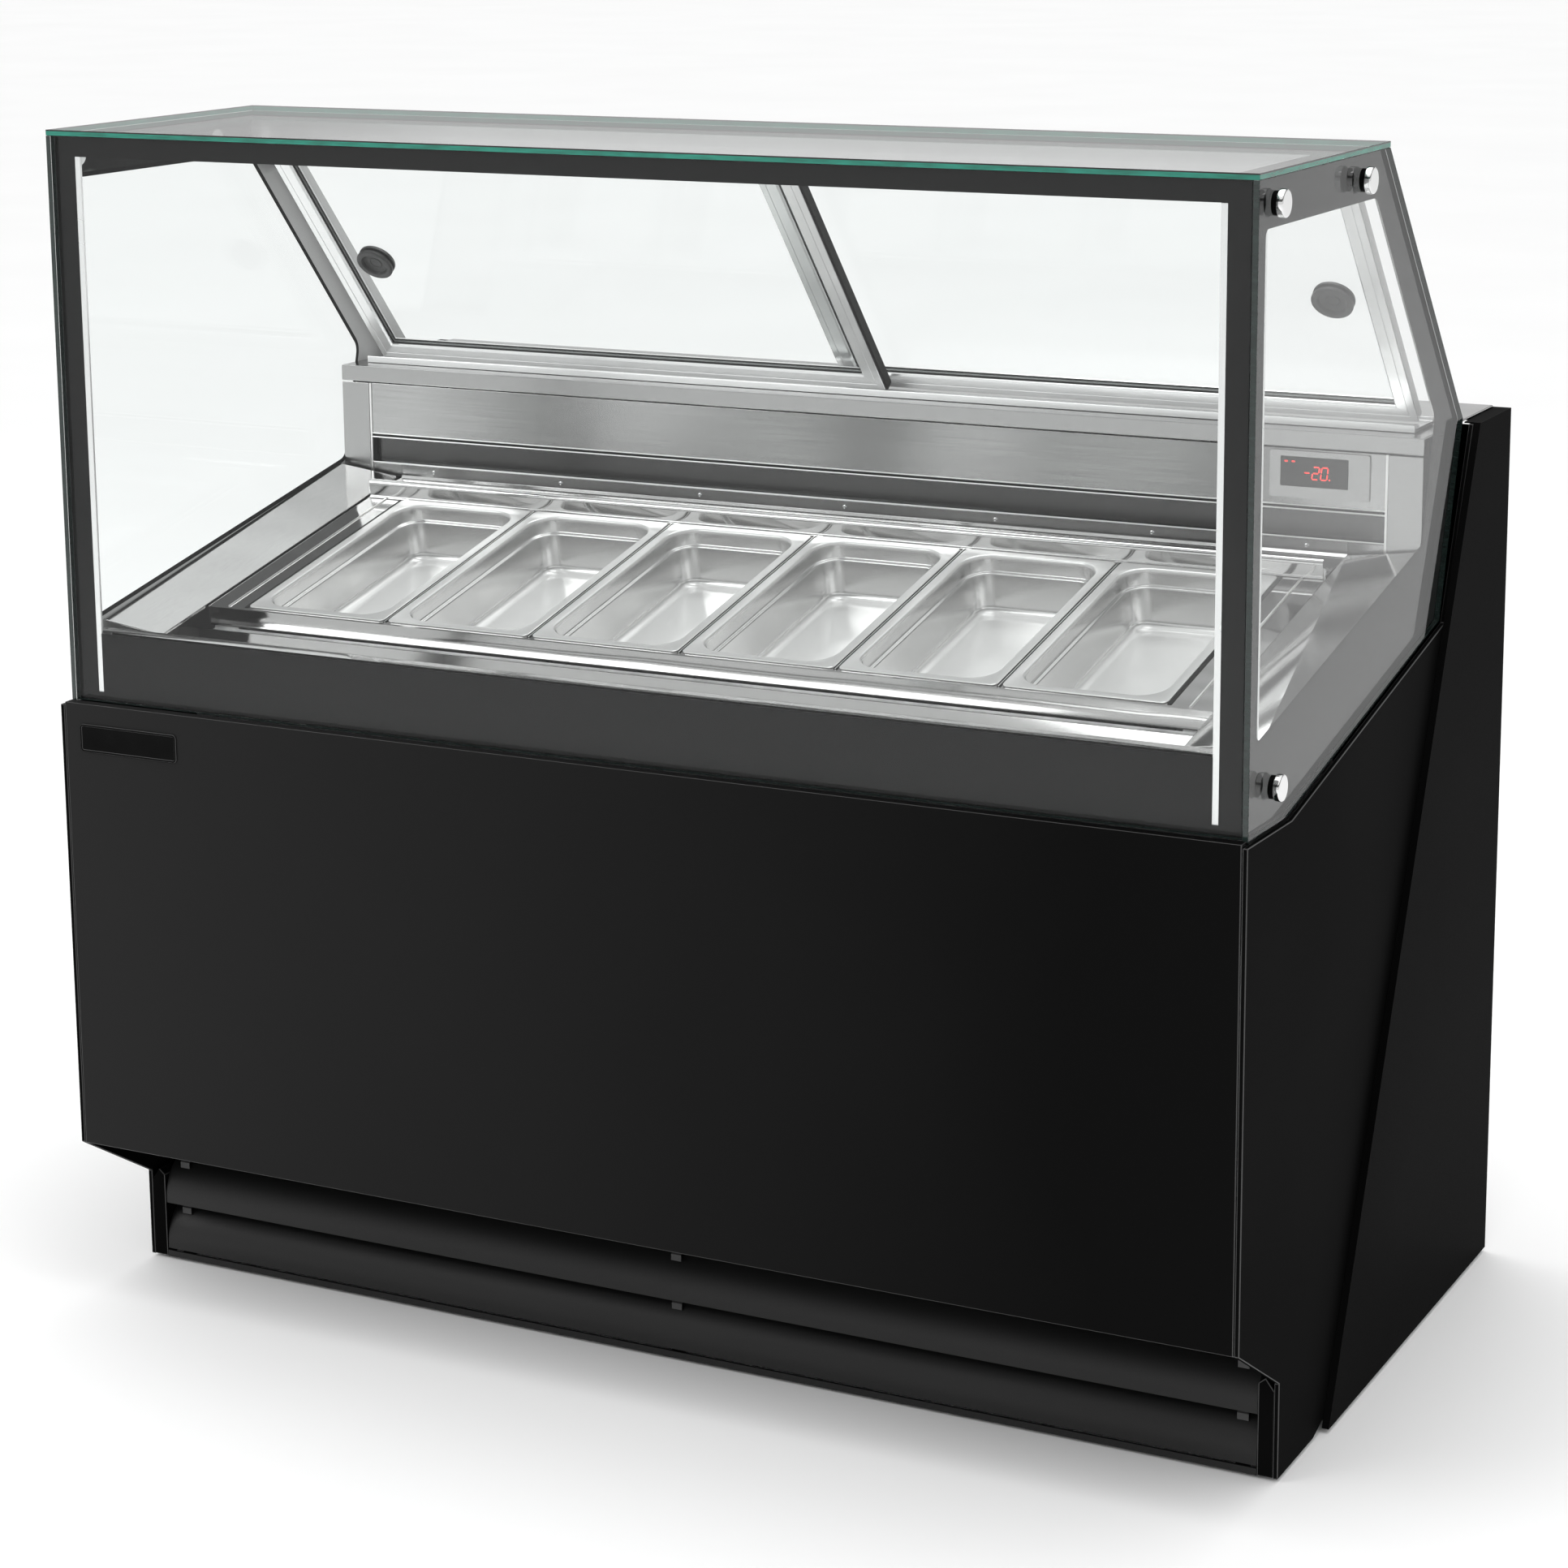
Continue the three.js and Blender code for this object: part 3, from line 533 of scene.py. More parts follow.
BODY_PAINT = powder_coat("body_paint", 0.0032, specular=0.003)
# The front panel's paint carries a painted highlight, lighter towards its left end.
FRONT_PAINT_AND_HIGHLIGHT = powder_coat("front_paint_and_highlight", 0.004, specular=0.012, left_painted_highlight_tone=0.02)
# A lighter paint for the rounded edges and the name plate's border: a painted highlight.
EDGE_HIGHLIGHT_PAINT = powder_coat("body_paint_edge_highlights", 0.03, roughness=0.35, specular=0.5)
KICK_PAINT = powder_coat("kick_paint", 0.004, roughness=0.5, specular=0.42)
CLIP_PAINT = powder_coat("clip_paint", 0.035, roughness=0.45, specular=0.4)
POST_PAINT = two_faced_post("post_paint", 0.006, 0.42)
BLACK_PLASTIC = moulded_plastic("black_plastic", 0.003, 0.3, specular=0.03)
PULL_PLASTIC = moulded_plastic("pull_plastic", 0.028, 0.38)
SEAL_RUBBER = moulded_plastic("seal_rubber", 0.008, 0.6, 0.4, 0.25)
FOOT_RUBBER = moulded_plastic("foot_rubber", 0.015, 0.7, 0.8, 0.25)
FOAM_LINER = moulded_plastic("tank_liner", 0.62, 0.5, 1.2)
SHELL_IRON = moulded_plastic("compressor_enamel", 0.02, 0.35, 2.0)
FAN_PLASTIC = moulded_plastic("fan_plastic", 0.03, 0.45)
WALL_STEEL = brushed_steel("wall_steel", 0.44, 0.2, (0.02, 1, 1), wave=0.8, cloudiness=0.5)
LEDGE_STEEL = brushed_steel("ledge_steel", 0.42, 0.22, (0.02, 1, 1))
SHELF_STEEL = brushed_steel("shelf_steel", 0.58, 0.12, (1, 0.02, 1), wave=0.8, cloudiness=0.3)
CHANNEL_STEEL = polished_steel("channel_steel", 0.09, 0.3, 0.2)
BEAD_STEEL = polished_steel("bead_steel", 0.9, 0.1, 0.3)
RAIL_STEEL = polished_steel("rail_steel", 0.66, 0.9)
ALUMINIUM_ACROSS = aluminium("aluminium_across", 0.86, 0.22, (0.03, 1, 1))
ALUMINIUM_UPRIGHT = aluminium("aluminium_upright", 0.82, 0.24, (1, 1, 0.03))
FIN_ALUMINIUM = aluminium("fin_aluminium", 0.55, 0.4, (1, 1, 0.1))
CHROME = chrome_look()
FRONT_GLASS = clear_glass("front_glass", "Y")
SIDE_GLASS = clear_glass("side_glass", "X")
TOP_GLASS = clear_glass("top_glass", "Z", TOP_GLASS_EDGE, rim=TOP_Z - 1.4)
DOOR_GLASS = clear_glass("door_glass")
FRONT_PRINT = glass_print("front_print", 0.009, 0.008, 700, 1280)
SIDE_PRINT_AND_SHADE = two_faced_print("side_print", 0.02, 0.008, 0.42)
TOP_PRINT = glass_print("top_print", 0.02, 0.02)
PRINT_LINE = glass_print("print_line", 0.008, 0.008)
SCREEN = moulded_plastic("display_screen", 0.006, 0.12, 3.0, 0.5)
DIGITS = glowing("display_digits", (1.0, 0.05, 0.04), 0.9)


# ---- Sheet-metal body ----

def dress(node_names, look, ease=0.8, edge_highlight_look=None):
    """Gives CAD nodes their material, and rounds their edges unless ease is 0; the edge material, if
    given, paints a highlight on the rounding.
    """
    for name in node_names:
        piece = nodes[name]
        piece.data.materials.clear()
        piece.data.materials.append(look)
        if ease:
            ease_edges(piece, ease, edge_highlight_look=edge_highlight_look)


def both(name):
    """A node's two mirrored names."""
    return [f"{name}_left", f"{name}_right"]


def add_screws(name, places, direction, radius):
    """One piece of equal low round screw heads with a recess, which look along direction."""
    height = radius * 0.5
    points, faces = turned([
        (0, height * 0.45), (radius * 0.35, height * 0.45), (radius * 0.42, height),
        (radius * 0.75, height * 0.92), (radius * 0.97, height * 0.55), (radius, 0), (0, 0),
    ], 24)
    matrices = [axis_matrix(place, direction) for place in places]
    make_piece(name, [([matrix @ p for p in points], faces) for matrix in matrices], CHROME, smooth=35)


def make_body():
    # The rounded edges of the black panels take the lighter edge paint, a painted highlight.
    dress(["front_panel"], FRONT_PAINT_AND_HIGHLIGHT, 0.9, EDGE_HIGHLIGHT_PAINT)
    dress([*both("side_panel"), *both("end_panel"), *both("kick_post")], BODY_PAINT, 0.9, EDGE_HIGHLIGHT_PAINT)
    dress(["rear_cover", "rear_grille"], BODY_PAINT, 0.6)
    dress(["kick_frame", "chassis_tray"], KICK_PAINT, 0.5)
    dress([*both("foot_front"), *both("foot_rear")], FOOT_RUBBER, 0)
    dress(both("rear_post"), POST_PAINT, 0.8)
    cover_low, cover_high = drawn_box("rear_cover")
    grille_low, grille_high = drawn_box("rear_grille")
    inset = 14
    columns = [cover_low.x + inset, cover_low.x / 3, cover_high.x / 3, cover_high.x - inset]
    rows = [cover_high.z - inset, cover_low.z + inset, grille_high.z - inset, grille_low.z + inset]
    places = [at(x, cover_high.y, z) for x in columns for z in rows]
    add_screws("cover_screws", places, (0, 1, 0), 3.6)


def make_name_plate():
    """A blank plate with rounded corners and a fine raised border, whose slopes carry a painted
    highlight.
    """
    low, high = drawn_box("name_plate")
    middle = ((low.x + high.x) / 2, (low.z + high.z) / 2)
    half = ((high.x - low.x) / 2, (high.z - low.z) / 2)
    corner = 4.5
    rings = [(0, high.y), (0, low.y + 0.5), (-0.5, low.y), (-2.2, low.y), (-2.6, low.y + 0.35)]
    loops = []
    for grown, y in rings:
        ring = rounded_rectangle(half[0] + grown, half[1] + grown, corner + grown)
        loops.append([at(x, y, z) for x, z in shifted(ring, *middle)])
    name_plate = make_piece("blank_plate", [lofted(loops)], BLACK_PLASTIC,
                            stands_for=["name_plate"], smooth=35)
    # The raised border's slopes take the lighter edge paint: a painted highlight.
    name_plate.data.materials.append(EDGE_HIGHLIGHT_PAINT)
    for face in name_plate.data.polygons:
        slopes = 0.2 < abs(face.normal.y) < 0.98
        face.material_index = 1 if slopes else 0


def make_louvres():
    """Two slats, upright at the bottom and curling back over the top, with their clips and screws."""
    radius, rise = 46, 8
    clip_x, clip_half = 640, 6
    screws, clips = [], []
    for name in ("upper_louvre", "lower_louvre"):
        low, high = drawn_box(name)
        outer = [(low.y, low.z)] + arc((low.y + radius, low.z + rise), radius, 180, 108, 18)
        shape = cross_bar(thickened(outer[::-1], 2), low.x, high.x)
        louvre = make_piece(name + "_slat", [shape], KICK_PAINT, stands_for=[name],
                            smooth=25)
        ease_edges(louvre, 0.5)
        back, top = high.y, high.z - 3
        section = [(back - 13, top + 6), (back - 21, top - 1), (back - 21, top - 8),
                   (back - 20, top - 8), (back - 20, top - 1.4), (back - 13, top + 4.6)]
        for x in (-clip_x, 0, clip_x):
            screws.append(at(x, back - 10, high.z + 3.2))
            clips.append(cross_bar(section, x - clip_half, x + clip_half))
    add_screws("louvre_screws", screws, (0, -0.3, 1), 2.6)
    make_piece("louvre_clips", clips, CLIP_PAINT)


# ---- Tilted deck and pans ----

DECK_TILT = math.radians(12)
DECK_FOOT = (150, 767)      # where the deck's plane starts, as (y, z)
DECK_LENGTH = (6, 331)      # from and to, up the slope
END_RIDGE_X = 565
UPSTAND_HALF = 588
PAN_PITCH = 181
PAN_CENTRE = 168.5          # up the slope
PAN_HALF_LENGTH = 162.5
PAN_SHEET = 1.1
PAN_CORNER = 29
PAN_RIM_WIDTH = 11
PAN_RIM_POINTS = 9          # how many of pan_profile's points are its rim
# Heights above the deck's plane:
PAN_RIM_TOP = 1.8
PAN_SHOULDER = -17
PAN_FLOOR = -63.5


def pan_steel():
    """Satin steel, painted lighter on the pans' floors than on their walls as a painted highlight where
    the floors face the light; floors and rims are also less metallic, so they scatter more light.
    """
    painted_lit_floor_tone, wall_tone = grey(0.9, STEEL_WARMTH), grey(0.7, STEEL_WARMTH)
    look = Look("pan_steel", wall_tone, 0.2, 1.0)
    lines = look.noise(2.2, (1, 0.1, 1))
    height = look.parts(look.place())[2]
    floor_end, wall_start = (PAN_FLOOR + 2) * MM, (PAN_FLOOR + 10) * MM
    # Painted highlight: the floors are lighter than the walls.
    look.vary_color(height, painted_lit_floor_tone, wall_tone, floor_end, wall_start)
    walls = look.between(height, 0.35, 0.95, floor_end, wall_start)
    rim = look.between(height, 0.0, 0.5, -4 * MM, -1 * MM)
    look.link(look.math("SUBTRACT", walls, rim), look.shader.inputs["Metallic"])
    look.vary_roughness(look.noise(150, detail=2), 0.16, 0.21)
    look.bump((lines, 0.0008))
    return look.material


PAN_STEEL_AND_HIGHLIGHT = pan_steel()


def pan_profile():
    """The pan's inner face as (offset from the opening, height, corner radius), from the rim down."""
    floor_radius = 11
    wall_foot = -8.4
    rim_radius = 6
    profile = [(10.6, PAN_RIM_TOP - 1.5, rim_radius), (11, PAN_RIM_TOP - 1.0, rim_radius + 0.3),
               (10.9, PAN_RIM_TOP - 0.3, rim_radius + 0.2), (10.4, PAN_RIM_TOP, rim_radius)]
    profile += [(a, h, PAN_CORNER + a) for a, h in arc((2.2, PAN_RIM_TOP - 2.4), 2.4, 90, 180, 5)]
    profile += [(-1.0, PAN_SHOULDER + 1.8, 28.2)]
    shoulder = arc((-2.8, PAN_SHOULDER + 1.8), 1.8, 0, -80, 4)
    shoulder += arc((-3.2, PAN_SHOULDER - 2.2), 2.0, 100, 180, 4)
    profile += [(a, h, PAN_CORNER + a) for a, h in shoulder]
    foot = arc((wall_foot - floor_radius, PAN_FLOOR + floor_radius), floor_radius, 0, -90, 8)
    profile += [(a, h, 20.5 + (a - wall_foot) * 0.6) for a, h in foot]
    return profile


def pan_outside(inner):
    """The pan's outer face from its floor up, about a sheet's thickness outside the inner one."""
    outside = []
    for offset, height, radius in inner[PAN_RIM_POINTS:]:
        height = min(height, PAN_RIM_TOP - 2.2) if offset > -0.3 else height - 0.6
        if height < PAN_FLOOR + 9:
            height -= PAN_SHEET
        outside.append((offset + PAN_SHEET, height, radius + PAN_SHEET))
    return outside[::-1]


def make_pans():
    outer_low, outer_high = drawn_box("pan_1")
    half_x = (outer_high.x - outer_low.x) / 2 - PAN_RIM_WIDTH
    half_y = PAN_HALF_LENGTH - PAN_RIM_WIDTH
    inner = pan_profile()
    under_rim = (2.0, PAN_RIM_TOP - 1.6, 31)
    loops = []
    for offset, height, radius in [*pan_outside(inner), under_rim, *inner]:
        ring = rounded_rectangle(half_x + offset, half_y + offset, max(radius, 6))
        loops.append([on_deck(x, y + PAN_CENTRE, height) for x, y in ring])
    for number in range(1, 7):
        low, high = drawn_box(f"pan_{number}")
        matrix = deck_matrix((low.x + high.x) / 2)
        make_piece(f"steel_pan_{number}", [lofted(loops)], PAN_STEEL_AND_HIGHLIGHT, body=f"pan_{number}_body",
                   stands_for=[f"pan_{number}"], matrix=matrix, smooth=24)


def deck_matrix(x=0.0):
    """From the deck's own plane, x across, u up the slope and n out of it, to the row frame."""
    return Matrix.Translation(at(x, *DECK_FOOT)) @ Matrix.Rotation(DECK_TILT, 4, "X")


def on_deck(x, u, n):
    return Vector((x, u, n)) * MM


def across_slope(x, n, u):
    return on_deck(x, u, n)


def along_slope(u, n, x):
    return on_deck(x, u, n)


def deck_strip(x, half_width, low, high):
    """A thin strip up the slope between two pans."""
    start, end = DECK_LENGTH
    x0, x1 = x - half_width, x + half_width
    return plate([(x0, start), (x1, start), (x1, end), (x0, end)], [], on_deck, low, high)


def make_deck():
    """The deck's rails with what lies between the pans, dark strips of painted shade among it, and the
    steel parts around it.
    """
    dress(["deck_frame"], RAIL_STEEL, 0.8)
    ridges = []
    for sign in SIDES.values():
        x = sign * END_RIDGE_X
        section = [(x - 1.4, 0), (x - 0.9, 1.1), (x + 0.9, 1.1), (x + 1.4, 0)]
        ridges.append(plate(section, [], across_slope, 5, 332))
    gaps = [number * PAN_PITCH for number in range(-3, 4)]
    ridges += [deck_strip(x, 0.45, 0.5, 1.2) for x in gaps[1:-1]]
    # Dark strips on the deck under the gaps between the pans: painted shade.
    gap_shade_strips = [deck_strip(x, 2.1, 0.05, 0.5) for x in gaps]
    make_piece("pan_gap_shade_strips", gap_shade_strips, SEAL_RUBBER, matrix=deck_matrix())
    make_piece("rail_ridges", ridges, BEAD_STEEL, matrix=deck_matrix())
    path = [(333, 0.2), *arc((333, 3.2), 3, 270, 360, 4),
            (336.6, 15), *arc((340.6, 15.5), 4, 180, 80, 6)]
    upstand = plate(thickened(path, 1.2), [], along_slope, -UPSTAND_HALF, UPSTAND_HALF)
    make_piece("deck_upstand", [upstand], RAIL_STEEL, matrix=deck_matrix(),
               smooth=35)
    dress(both("side_shelf"), SHELF_STEEL, 0.8)
    dress(["insulated_tank"], FOAM_LINER, 0.8)
    low, high = drawn_box("front_trough")
    path = [(low.y, high.z), *arc((low.y + 20, high.z - 8), 8, 90, 39, 5),
            *arc((107, 728), 12, 219, 270, 6), *arc((140, 722), 6, 270, 360, 5), (146, 742)]
    shape = cross_bar(thickened(path, -2), low.x, high.x)
    make_piece("trough", [shape], RAIL_STEEL, stands_for=["front_trough"],
               smooth=30)


# ---- Steel back wall, display and worktop ----

LINER_Y = 549
LINER_HALF = 630
LINER_TOP = 960
LINER_FOOT = 849
RETURN_END = 670        # where the flat steel beside the wall ends
LEDGE_HALF = 590
CHANNEL = (865.5, 895)
CHANNEL_DEPTH = 9


def wall_bead(z, radius):
    """A half-round bead along the wall's face."""
    back = LINER_Y + 0.6
    section = [(back, z + radius), *arc((LINER_Y, z), radius, 90, 270, 6), (back, z - radius)]
    return cross_bar(section, -LINER_HALF, LINER_HALF)


def make_back_wall():
    """The brushed wall, the dark channel under it with bright beads, and the ledge behind the pans."""
    dress(["rear_worktop"], LEDGE_STEEL, 1.0)
    foot, head = CHANNEL
    wall = box_shape((-LINER_HALF, LINER_Y, head + 1.4), (LINER_HALF, LINER_Y + 2, LINER_TOP))
    wall_piece = make_piece("liner_wall", [wall], WALL_STEEL,
                            stands_for=["rear_liner"])
    ease_edges(wall_piece, 0.4)
    back = LINER_Y + CHANNEL_DEPTH
    recess = thickened([(LINER_Y, head), (back, head - 1), (back, foot + 1), (LINER_Y, foot)], 1.5)
    half = LINER_HALF - 0.3
    make_piece("liner_channel", [cross_bar(recess, -half, half)], CHANNEL_STEEL,
               smooth=20)
    beads = [wall_bead(head + 4.6, 0.8), wall_bead(head + 0.2, 1.0), wall_bead(foot - 0.6, 0.9)]
    for sign in SIDES.values():
        x0, x1 = sorted((sign * LINER_HALF, sign * (LINER_HALF + 2.4)))
        beads.append(box_shape((x0, LINER_Y - 1.2, LINER_FOOT), (x1, LINER_Y + 1, LINER_TOP)))
    make_piece("liner_beads", beads, BEAD_STEEL, smooth=40)
    y0, y1, z0, z1 = LINER_Y - 0.15, LINER_Y + 0.4, head + 1.4, head + 3.7
    half = LINER_HALF - 0.4
    gap = cross_bar([(y0, z0), (y1, z0), (y1, z1), (y0, z1)], -half, half)
    make_piece("liner_gap", [gap], SEAL_RUBBER)
    ledge = thickened([(LINER_Y, foot - 1.6), (LINER_Y, 851), (LINER_Y - 3, 848), (486, 841.2)], 1.4)
    half = LEDGE_HALF - 0.3
    ledge_piece = make_piece("liner_ledge", [cross_bar(ledge, -half, half)], SHELF_STEEL,
                             smooth=25)
    ease_edges(ledge_piece, 0.3)
    returns = []
    for sign in SIDES.values():
        x0, x1 = sorted((sign * (LINER_HALF + 2.6), sign * RETURN_END))
        returns.append(box_shape((x0, LINER_Y - 2, 852), (x1, LINER_Y, LINER_TOP)))
        x0, x1 = sorted((sign * LEDGE_HALF, sign * LINER_HALF))
        returns.append(box_shape((x0, LINER_Y, LINER_FOOT), (x1, LINER_Y + 2, foot - 1.6)))
    return_piece = make_piece("liner_returns", returns, LEDGE_STEEL)
    ease_edges(return_piece, 0.5)
    places = [at(x, LINER_Y, 857) for x in (-545, -370, -185, 0, 185, 370, 545)]
    add_screws("ledge_screws", places, (0, -1, 0), 2.6)


# Bars of a seven-segment figure as (start, end), in units of its width and half its height.
SEGMENTS = {
    "a": ((0, 2), (1, 2)), "b": ((1, 2), (1, 1)), "c": ((1, 1), (1, 0)), "d": ((0, 0), (1, 0)),
    "e": ((0, 0), (0, 1)), "f": ((0, 1), (0, 2)), "g": ((0, 1), (1, 1)),
}
FIGURES = {"-": "g", "2": "abged", "0": "abcdef"}


def bar_outline(start, end, width):
    """A pointed bar between two points."""
    start, end = Vector(start), Vector(end)
    along = (end - start).normalized()
    across = Vector((-along.y, along.x)) * width / 2
    start, end = start + along * 0.4, end - along * 0.4
    tip = along * width / 2
    corners = [start, start + tip + across, end - tip + across,
               end, end - tip - across, start + tip - across]
    return [tuple(c) for c in corners]


def make_display():
    """A steel bezel round a dark window with a generic temperature and two lamps."""
    low, high = drawn_box("temperature_display")
    bezel_y, wall_y = high.y - 2.8, high.y
    screen_y = bezel_y + 0.5
    window_left, window_right, window_foot, window_top = 515, 590, 920, 952
    middle = ((low.x + high.x) / 2, (low.z + high.z) / 2)
    outline = shifted(rounded_rectangle((high.x - low.x) / 2, (high.z - low.z) / 2, 3), *middle)
    middle = ((window_left + window_right) / 2, (window_foot + window_top) / 2)
    opening = shifted(rounded_rectangle(37.5, 16, 1.5), *middle)
    screen = shifted(rounded_rectangle(37.3, 15.8, 1.4), *middle)
    bezel = make_piece("display_bezel", [plate(outline, [opening], facing_front, bezel_y, wall_y)],
                       LEDGE_STEEL, stands_for=["temperature_display"], smooth=30)
    ease_edges(bezel, 0.6)
    make_piece("display_screen", [plate(screen, [], facing_front, screen_y, wall_y)], SCREEN,
               smooth=30)
    bars = []
    half_height, width, pitch, lean, bar_width = 6.6, 7.0, 9.6, 0.12, 1.5
    left, base = window_left + 25, window_foot + 8.5
    for index, figure in enumerate("-20"):
        for key in FIGURES[figure]:
            ends = [(left + index * pitch + a * width + lean * b * half_height, base + b * half_height)
                    for a, b in SEGMENTS[key]]
            bars.append(bar_outline(*ends, bar_width))
    bars.append(shifted(rounded_rectangle(0.9, 0.9, 0.8, 4), left + 29.2, base + 0.4))
    lamp = rounded_rectangle(1.9, 0.8, 0.7, 4)
    bars += [shifted(lamp, window_left + x, window_top - 5.5) for x in (6, 14)]
    shapes = [plate(bar, [], facing_front, screen_y - 0.25, screen_y + 0.1) for bar in bars]
    figures = make_piece("display_figures", shapes, DIGITS)
    figures.visible_glossy = False


# ---- Glass house ----

PRINT_THICKNESS = 0.3
PRINT_GAP = 0.12        # between a pane and its print
CORNER_BAND = 645       # where the front print's upright bands start, and below them the profiles
PROFILE_EDGE = 638.4


def make_glass():
    dress(["front_glass"], FRONT_GLASS, 0.5)
    dress(["top_glass"], TOP_GLASS, 0.5)
    dress(both("side_glass"), SIDE_GLASS, 0.5)
    dress(both("corner_profile"), ALUMINIUM_UPRIGHT, 0.5)
    dress(["lower_door_track", "upper_door_track"], ALUMINIUM_ACROSS, 0.5)


def make_prints():
    """Dark enamel borders behind the panes."""
    low, high = drawn_box("front_glass")
    outline = [(low.x, low.z), (high.x, low.z), (high.x, high.z), (low.x, high.z)]
    band_top, slot_foot, window_foot = 1272, 692, 757
    window = [(-CORNER_BAND, band_top), (-CORNER_BAND, slot_foot), (-PROFILE_EDGE, slot_foot),
              (-PROFILE_EDGE, window_foot), (PROFILE_EDGE, window_foot), (PROFILE_EDGE, slot_foot),
              (CORNER_BAND, slot_foot), (CORNER_BAND, band_top)]
    back = high.y + PRINT_GAP
    shape = plate(outline, [window], facing_front, back, back + PRINT_THICKNESS)
    make_piece("front_glass_print", [shape], FRONT_PRINT)

    low, high = drawn_box("top_glass")
    left, right, front, back = low.x + 1, high.x - 1, low.y + 1, high.y - 1
    outline = [(left, front), (right, front), (right, back), (left, back)]
    left, right, front, back = -641, 634, 75, 280
    window = shifted(rounded_rectangle((right - left) / 2, (back - front) / 2, 3),
                     (left + right) / 2, (front + back) / 2)
    under = low.z - PRINT_GAP
    make_piece("top_glass_print", [plate(outline, [window], facing_up, under - 0.15, under)], TOP_PRINT)

    # The side panes' borders, as (y, z), with a darker line of this width round the window.
    line_width = 5
    outline = [(15, 681), (124, 680), (596, 779), (662, 985), (390.6, 1293.3), (15, 1293.3)]
    corners = [Vector(c) for c in ((50, 1246), (370, 1246), (582, 998), (548, 868), (50, 767))]
    window = softened(corners, 9)
    line = softened(offset_polygon(corners, line_width), 9 + line_width / 2)
    for side, sign in SIDES.items():
        glass_x = abs(drawn_box("side_glass_" + side)[0 if sign > 0 else 1].x)
        face = sign * (glass_x - PRINT_GAP)
        ends = sorted((face, face - sign * PRINT_THICKNESS))
        make_piece(f"side_print_{side}", [plate(outline, [line], facing_side, *ends)], SIDE_PRINT_AND_SHADE)
        make_piece(f"side_print_line_{side}", [plate(line, [window], facing_side, *ends)], PRINT_LINE)


def offset_polygon(corners, distance):
    """A polygon's corners moved outwards so that each side moves by distance."""
    count = len(corners)
    centre = sum(corners, Vector((0, 0))) / count
    moved = []
    for i, corner in enumerate(corners):
        before = (corner - corners[i - 1]).normalized()
        after = (corners[(i + 1) % count] - corner).normalized()
        normals = [Vector((d.y, -d.x)) for d in (before, after)]
        normals = [n if n.dot(corner - centre) > 0 else -n for n in normals]
        bisector = (normals[0] + normals[1]).normalized()
        moved.append(corner + bisector * distance / bisector.dot(normals[0]))
    return moved


def softened(corners, reach):
    """A polygon with each corner rounded off over reach on both sides."""
    steps = 5
    points = []
    for i, corner in enumerate(corners):
        start = corner + (corners[i - 1] - corner).normalized() * reach
        end = corner + (corners[(i + 1) % len(corners)] - corner).normalized() * reach
        for k in range(steps + 1):
            t = k / steps
            p = start * (1 - t) ** 2 + corner * 2 * t * (1 - t) + end * t ** 2
            points.append((p.x, p.y))
    return points


def make_corner_beads():
    """Black silicone in the upright joints between the front and side panes."""
    low, high = drawn_box("front_glass")
    shapes = []
    for sign in SIDES.values():
        x0, x1 = sorted((sign * (high.x + 0.1), sign * (high.x + 0.6)))
        shapes.append(box_shape((x0, low.y + 0.3, low.z), (x1, high.y - 0.3, high.z)))
    make_piece("corner_beads", shapes, SEAL_RUBBER)


def make_clamps():
    """Each clamp is a chrome cap on a black spacer, with a nut plate inside the pane."""
    spacer, rounding = 5, 1.8
    nut_x = 663.8
    nut = [(0, 0), (6, 0), (6, 0.6), (10.4, 0.6), (11, 1.2), (11, 6.8), (0, 6.8)]
    for side, sign in SIDES.items():
        for number in (1, 2, 3):
            node = f"glass_clamp_{side}_{number}"
            low, high = drawn_box(node)
            radius, length = (high.y - low.y) / 2, high.x - low.x
            y, z = (low.y + high.y) / 2, (low.z + high.z) / 2
            outside = axis_matrix(at(low.x if sign > 0 else high.x, y, z), (sign, 0, 0))
            inside = axis_matrix(at(sign * nut_x, y, z), (sign, 0, 0))
            cap = [(0, spacer), (radius - 0.9, spacer),
                   (radius, spacer + 0.7), (radius, length - rounding),
                   *arc((radius - rounding, length - rounding), rounding, 0, 90, 5)[1:],
                   (radius - 3, length), (0, length - 0.05)]
            black = [(0, 0), (radius - 1.8, 0), (radius - 1.8, spacer - 0.1), (0, spacer - 0.1)]
            make_piece(f"clamp_cap_{side}_{number}", [turned(cap)], CHROME,
                       stands_for=[node], matrix=outside, smooth=40)
            make_piece(f"clamp_spacer_{side}_{number}", [turned(black)], BLACK_PLASTIC, matrix=outside,
                       smooth=40)
            make_piece(f"clamp_nut_{side}_{number}", [turned(nut)], ALUMINIUM_ACROSS, matrix=inside,
                       smooth=40)


# ---- Sliding doors ----

DOOR_STILE = 22
DOOR_HALF = 7           # half a rail's thickness
SEAL_WIDTH = 3
PULL_X = 582
PULL_HEIGHT = 207       # up the slant
DOOR_DEPTHS = {"left": 44, "right": 26}     # of the doors' middles, inward of the rear edge


def frame_bars(x0, x1, bottom, top, profile):
    """Four mitred bars round a rectangle; profile is (distance from the outer edge, height)."""
    gap = 0.12
    corners = [Vector((x0, bottom)), Vector((x1, bottom)), Vector((x1, top)), Vector((x0, top))]
    shapes = []
    for i, start in enumerate(corners):
        end = corners[(i + 1) % 4]
        along = (end - start).normalized()
        inward = Vector((-along.y, along.x))
        loops = []
        for corner, sign in ((start, 1), (end, -1)):
            loop = []
            for w, n in profile:
                p = corner + inward * w + along * sign * (w + gap)
                loop.append(Vector((p.x, p.y, n)) * MM)
            loops.append(loop)
        shapes.append(lofted(loops))
    return shapes


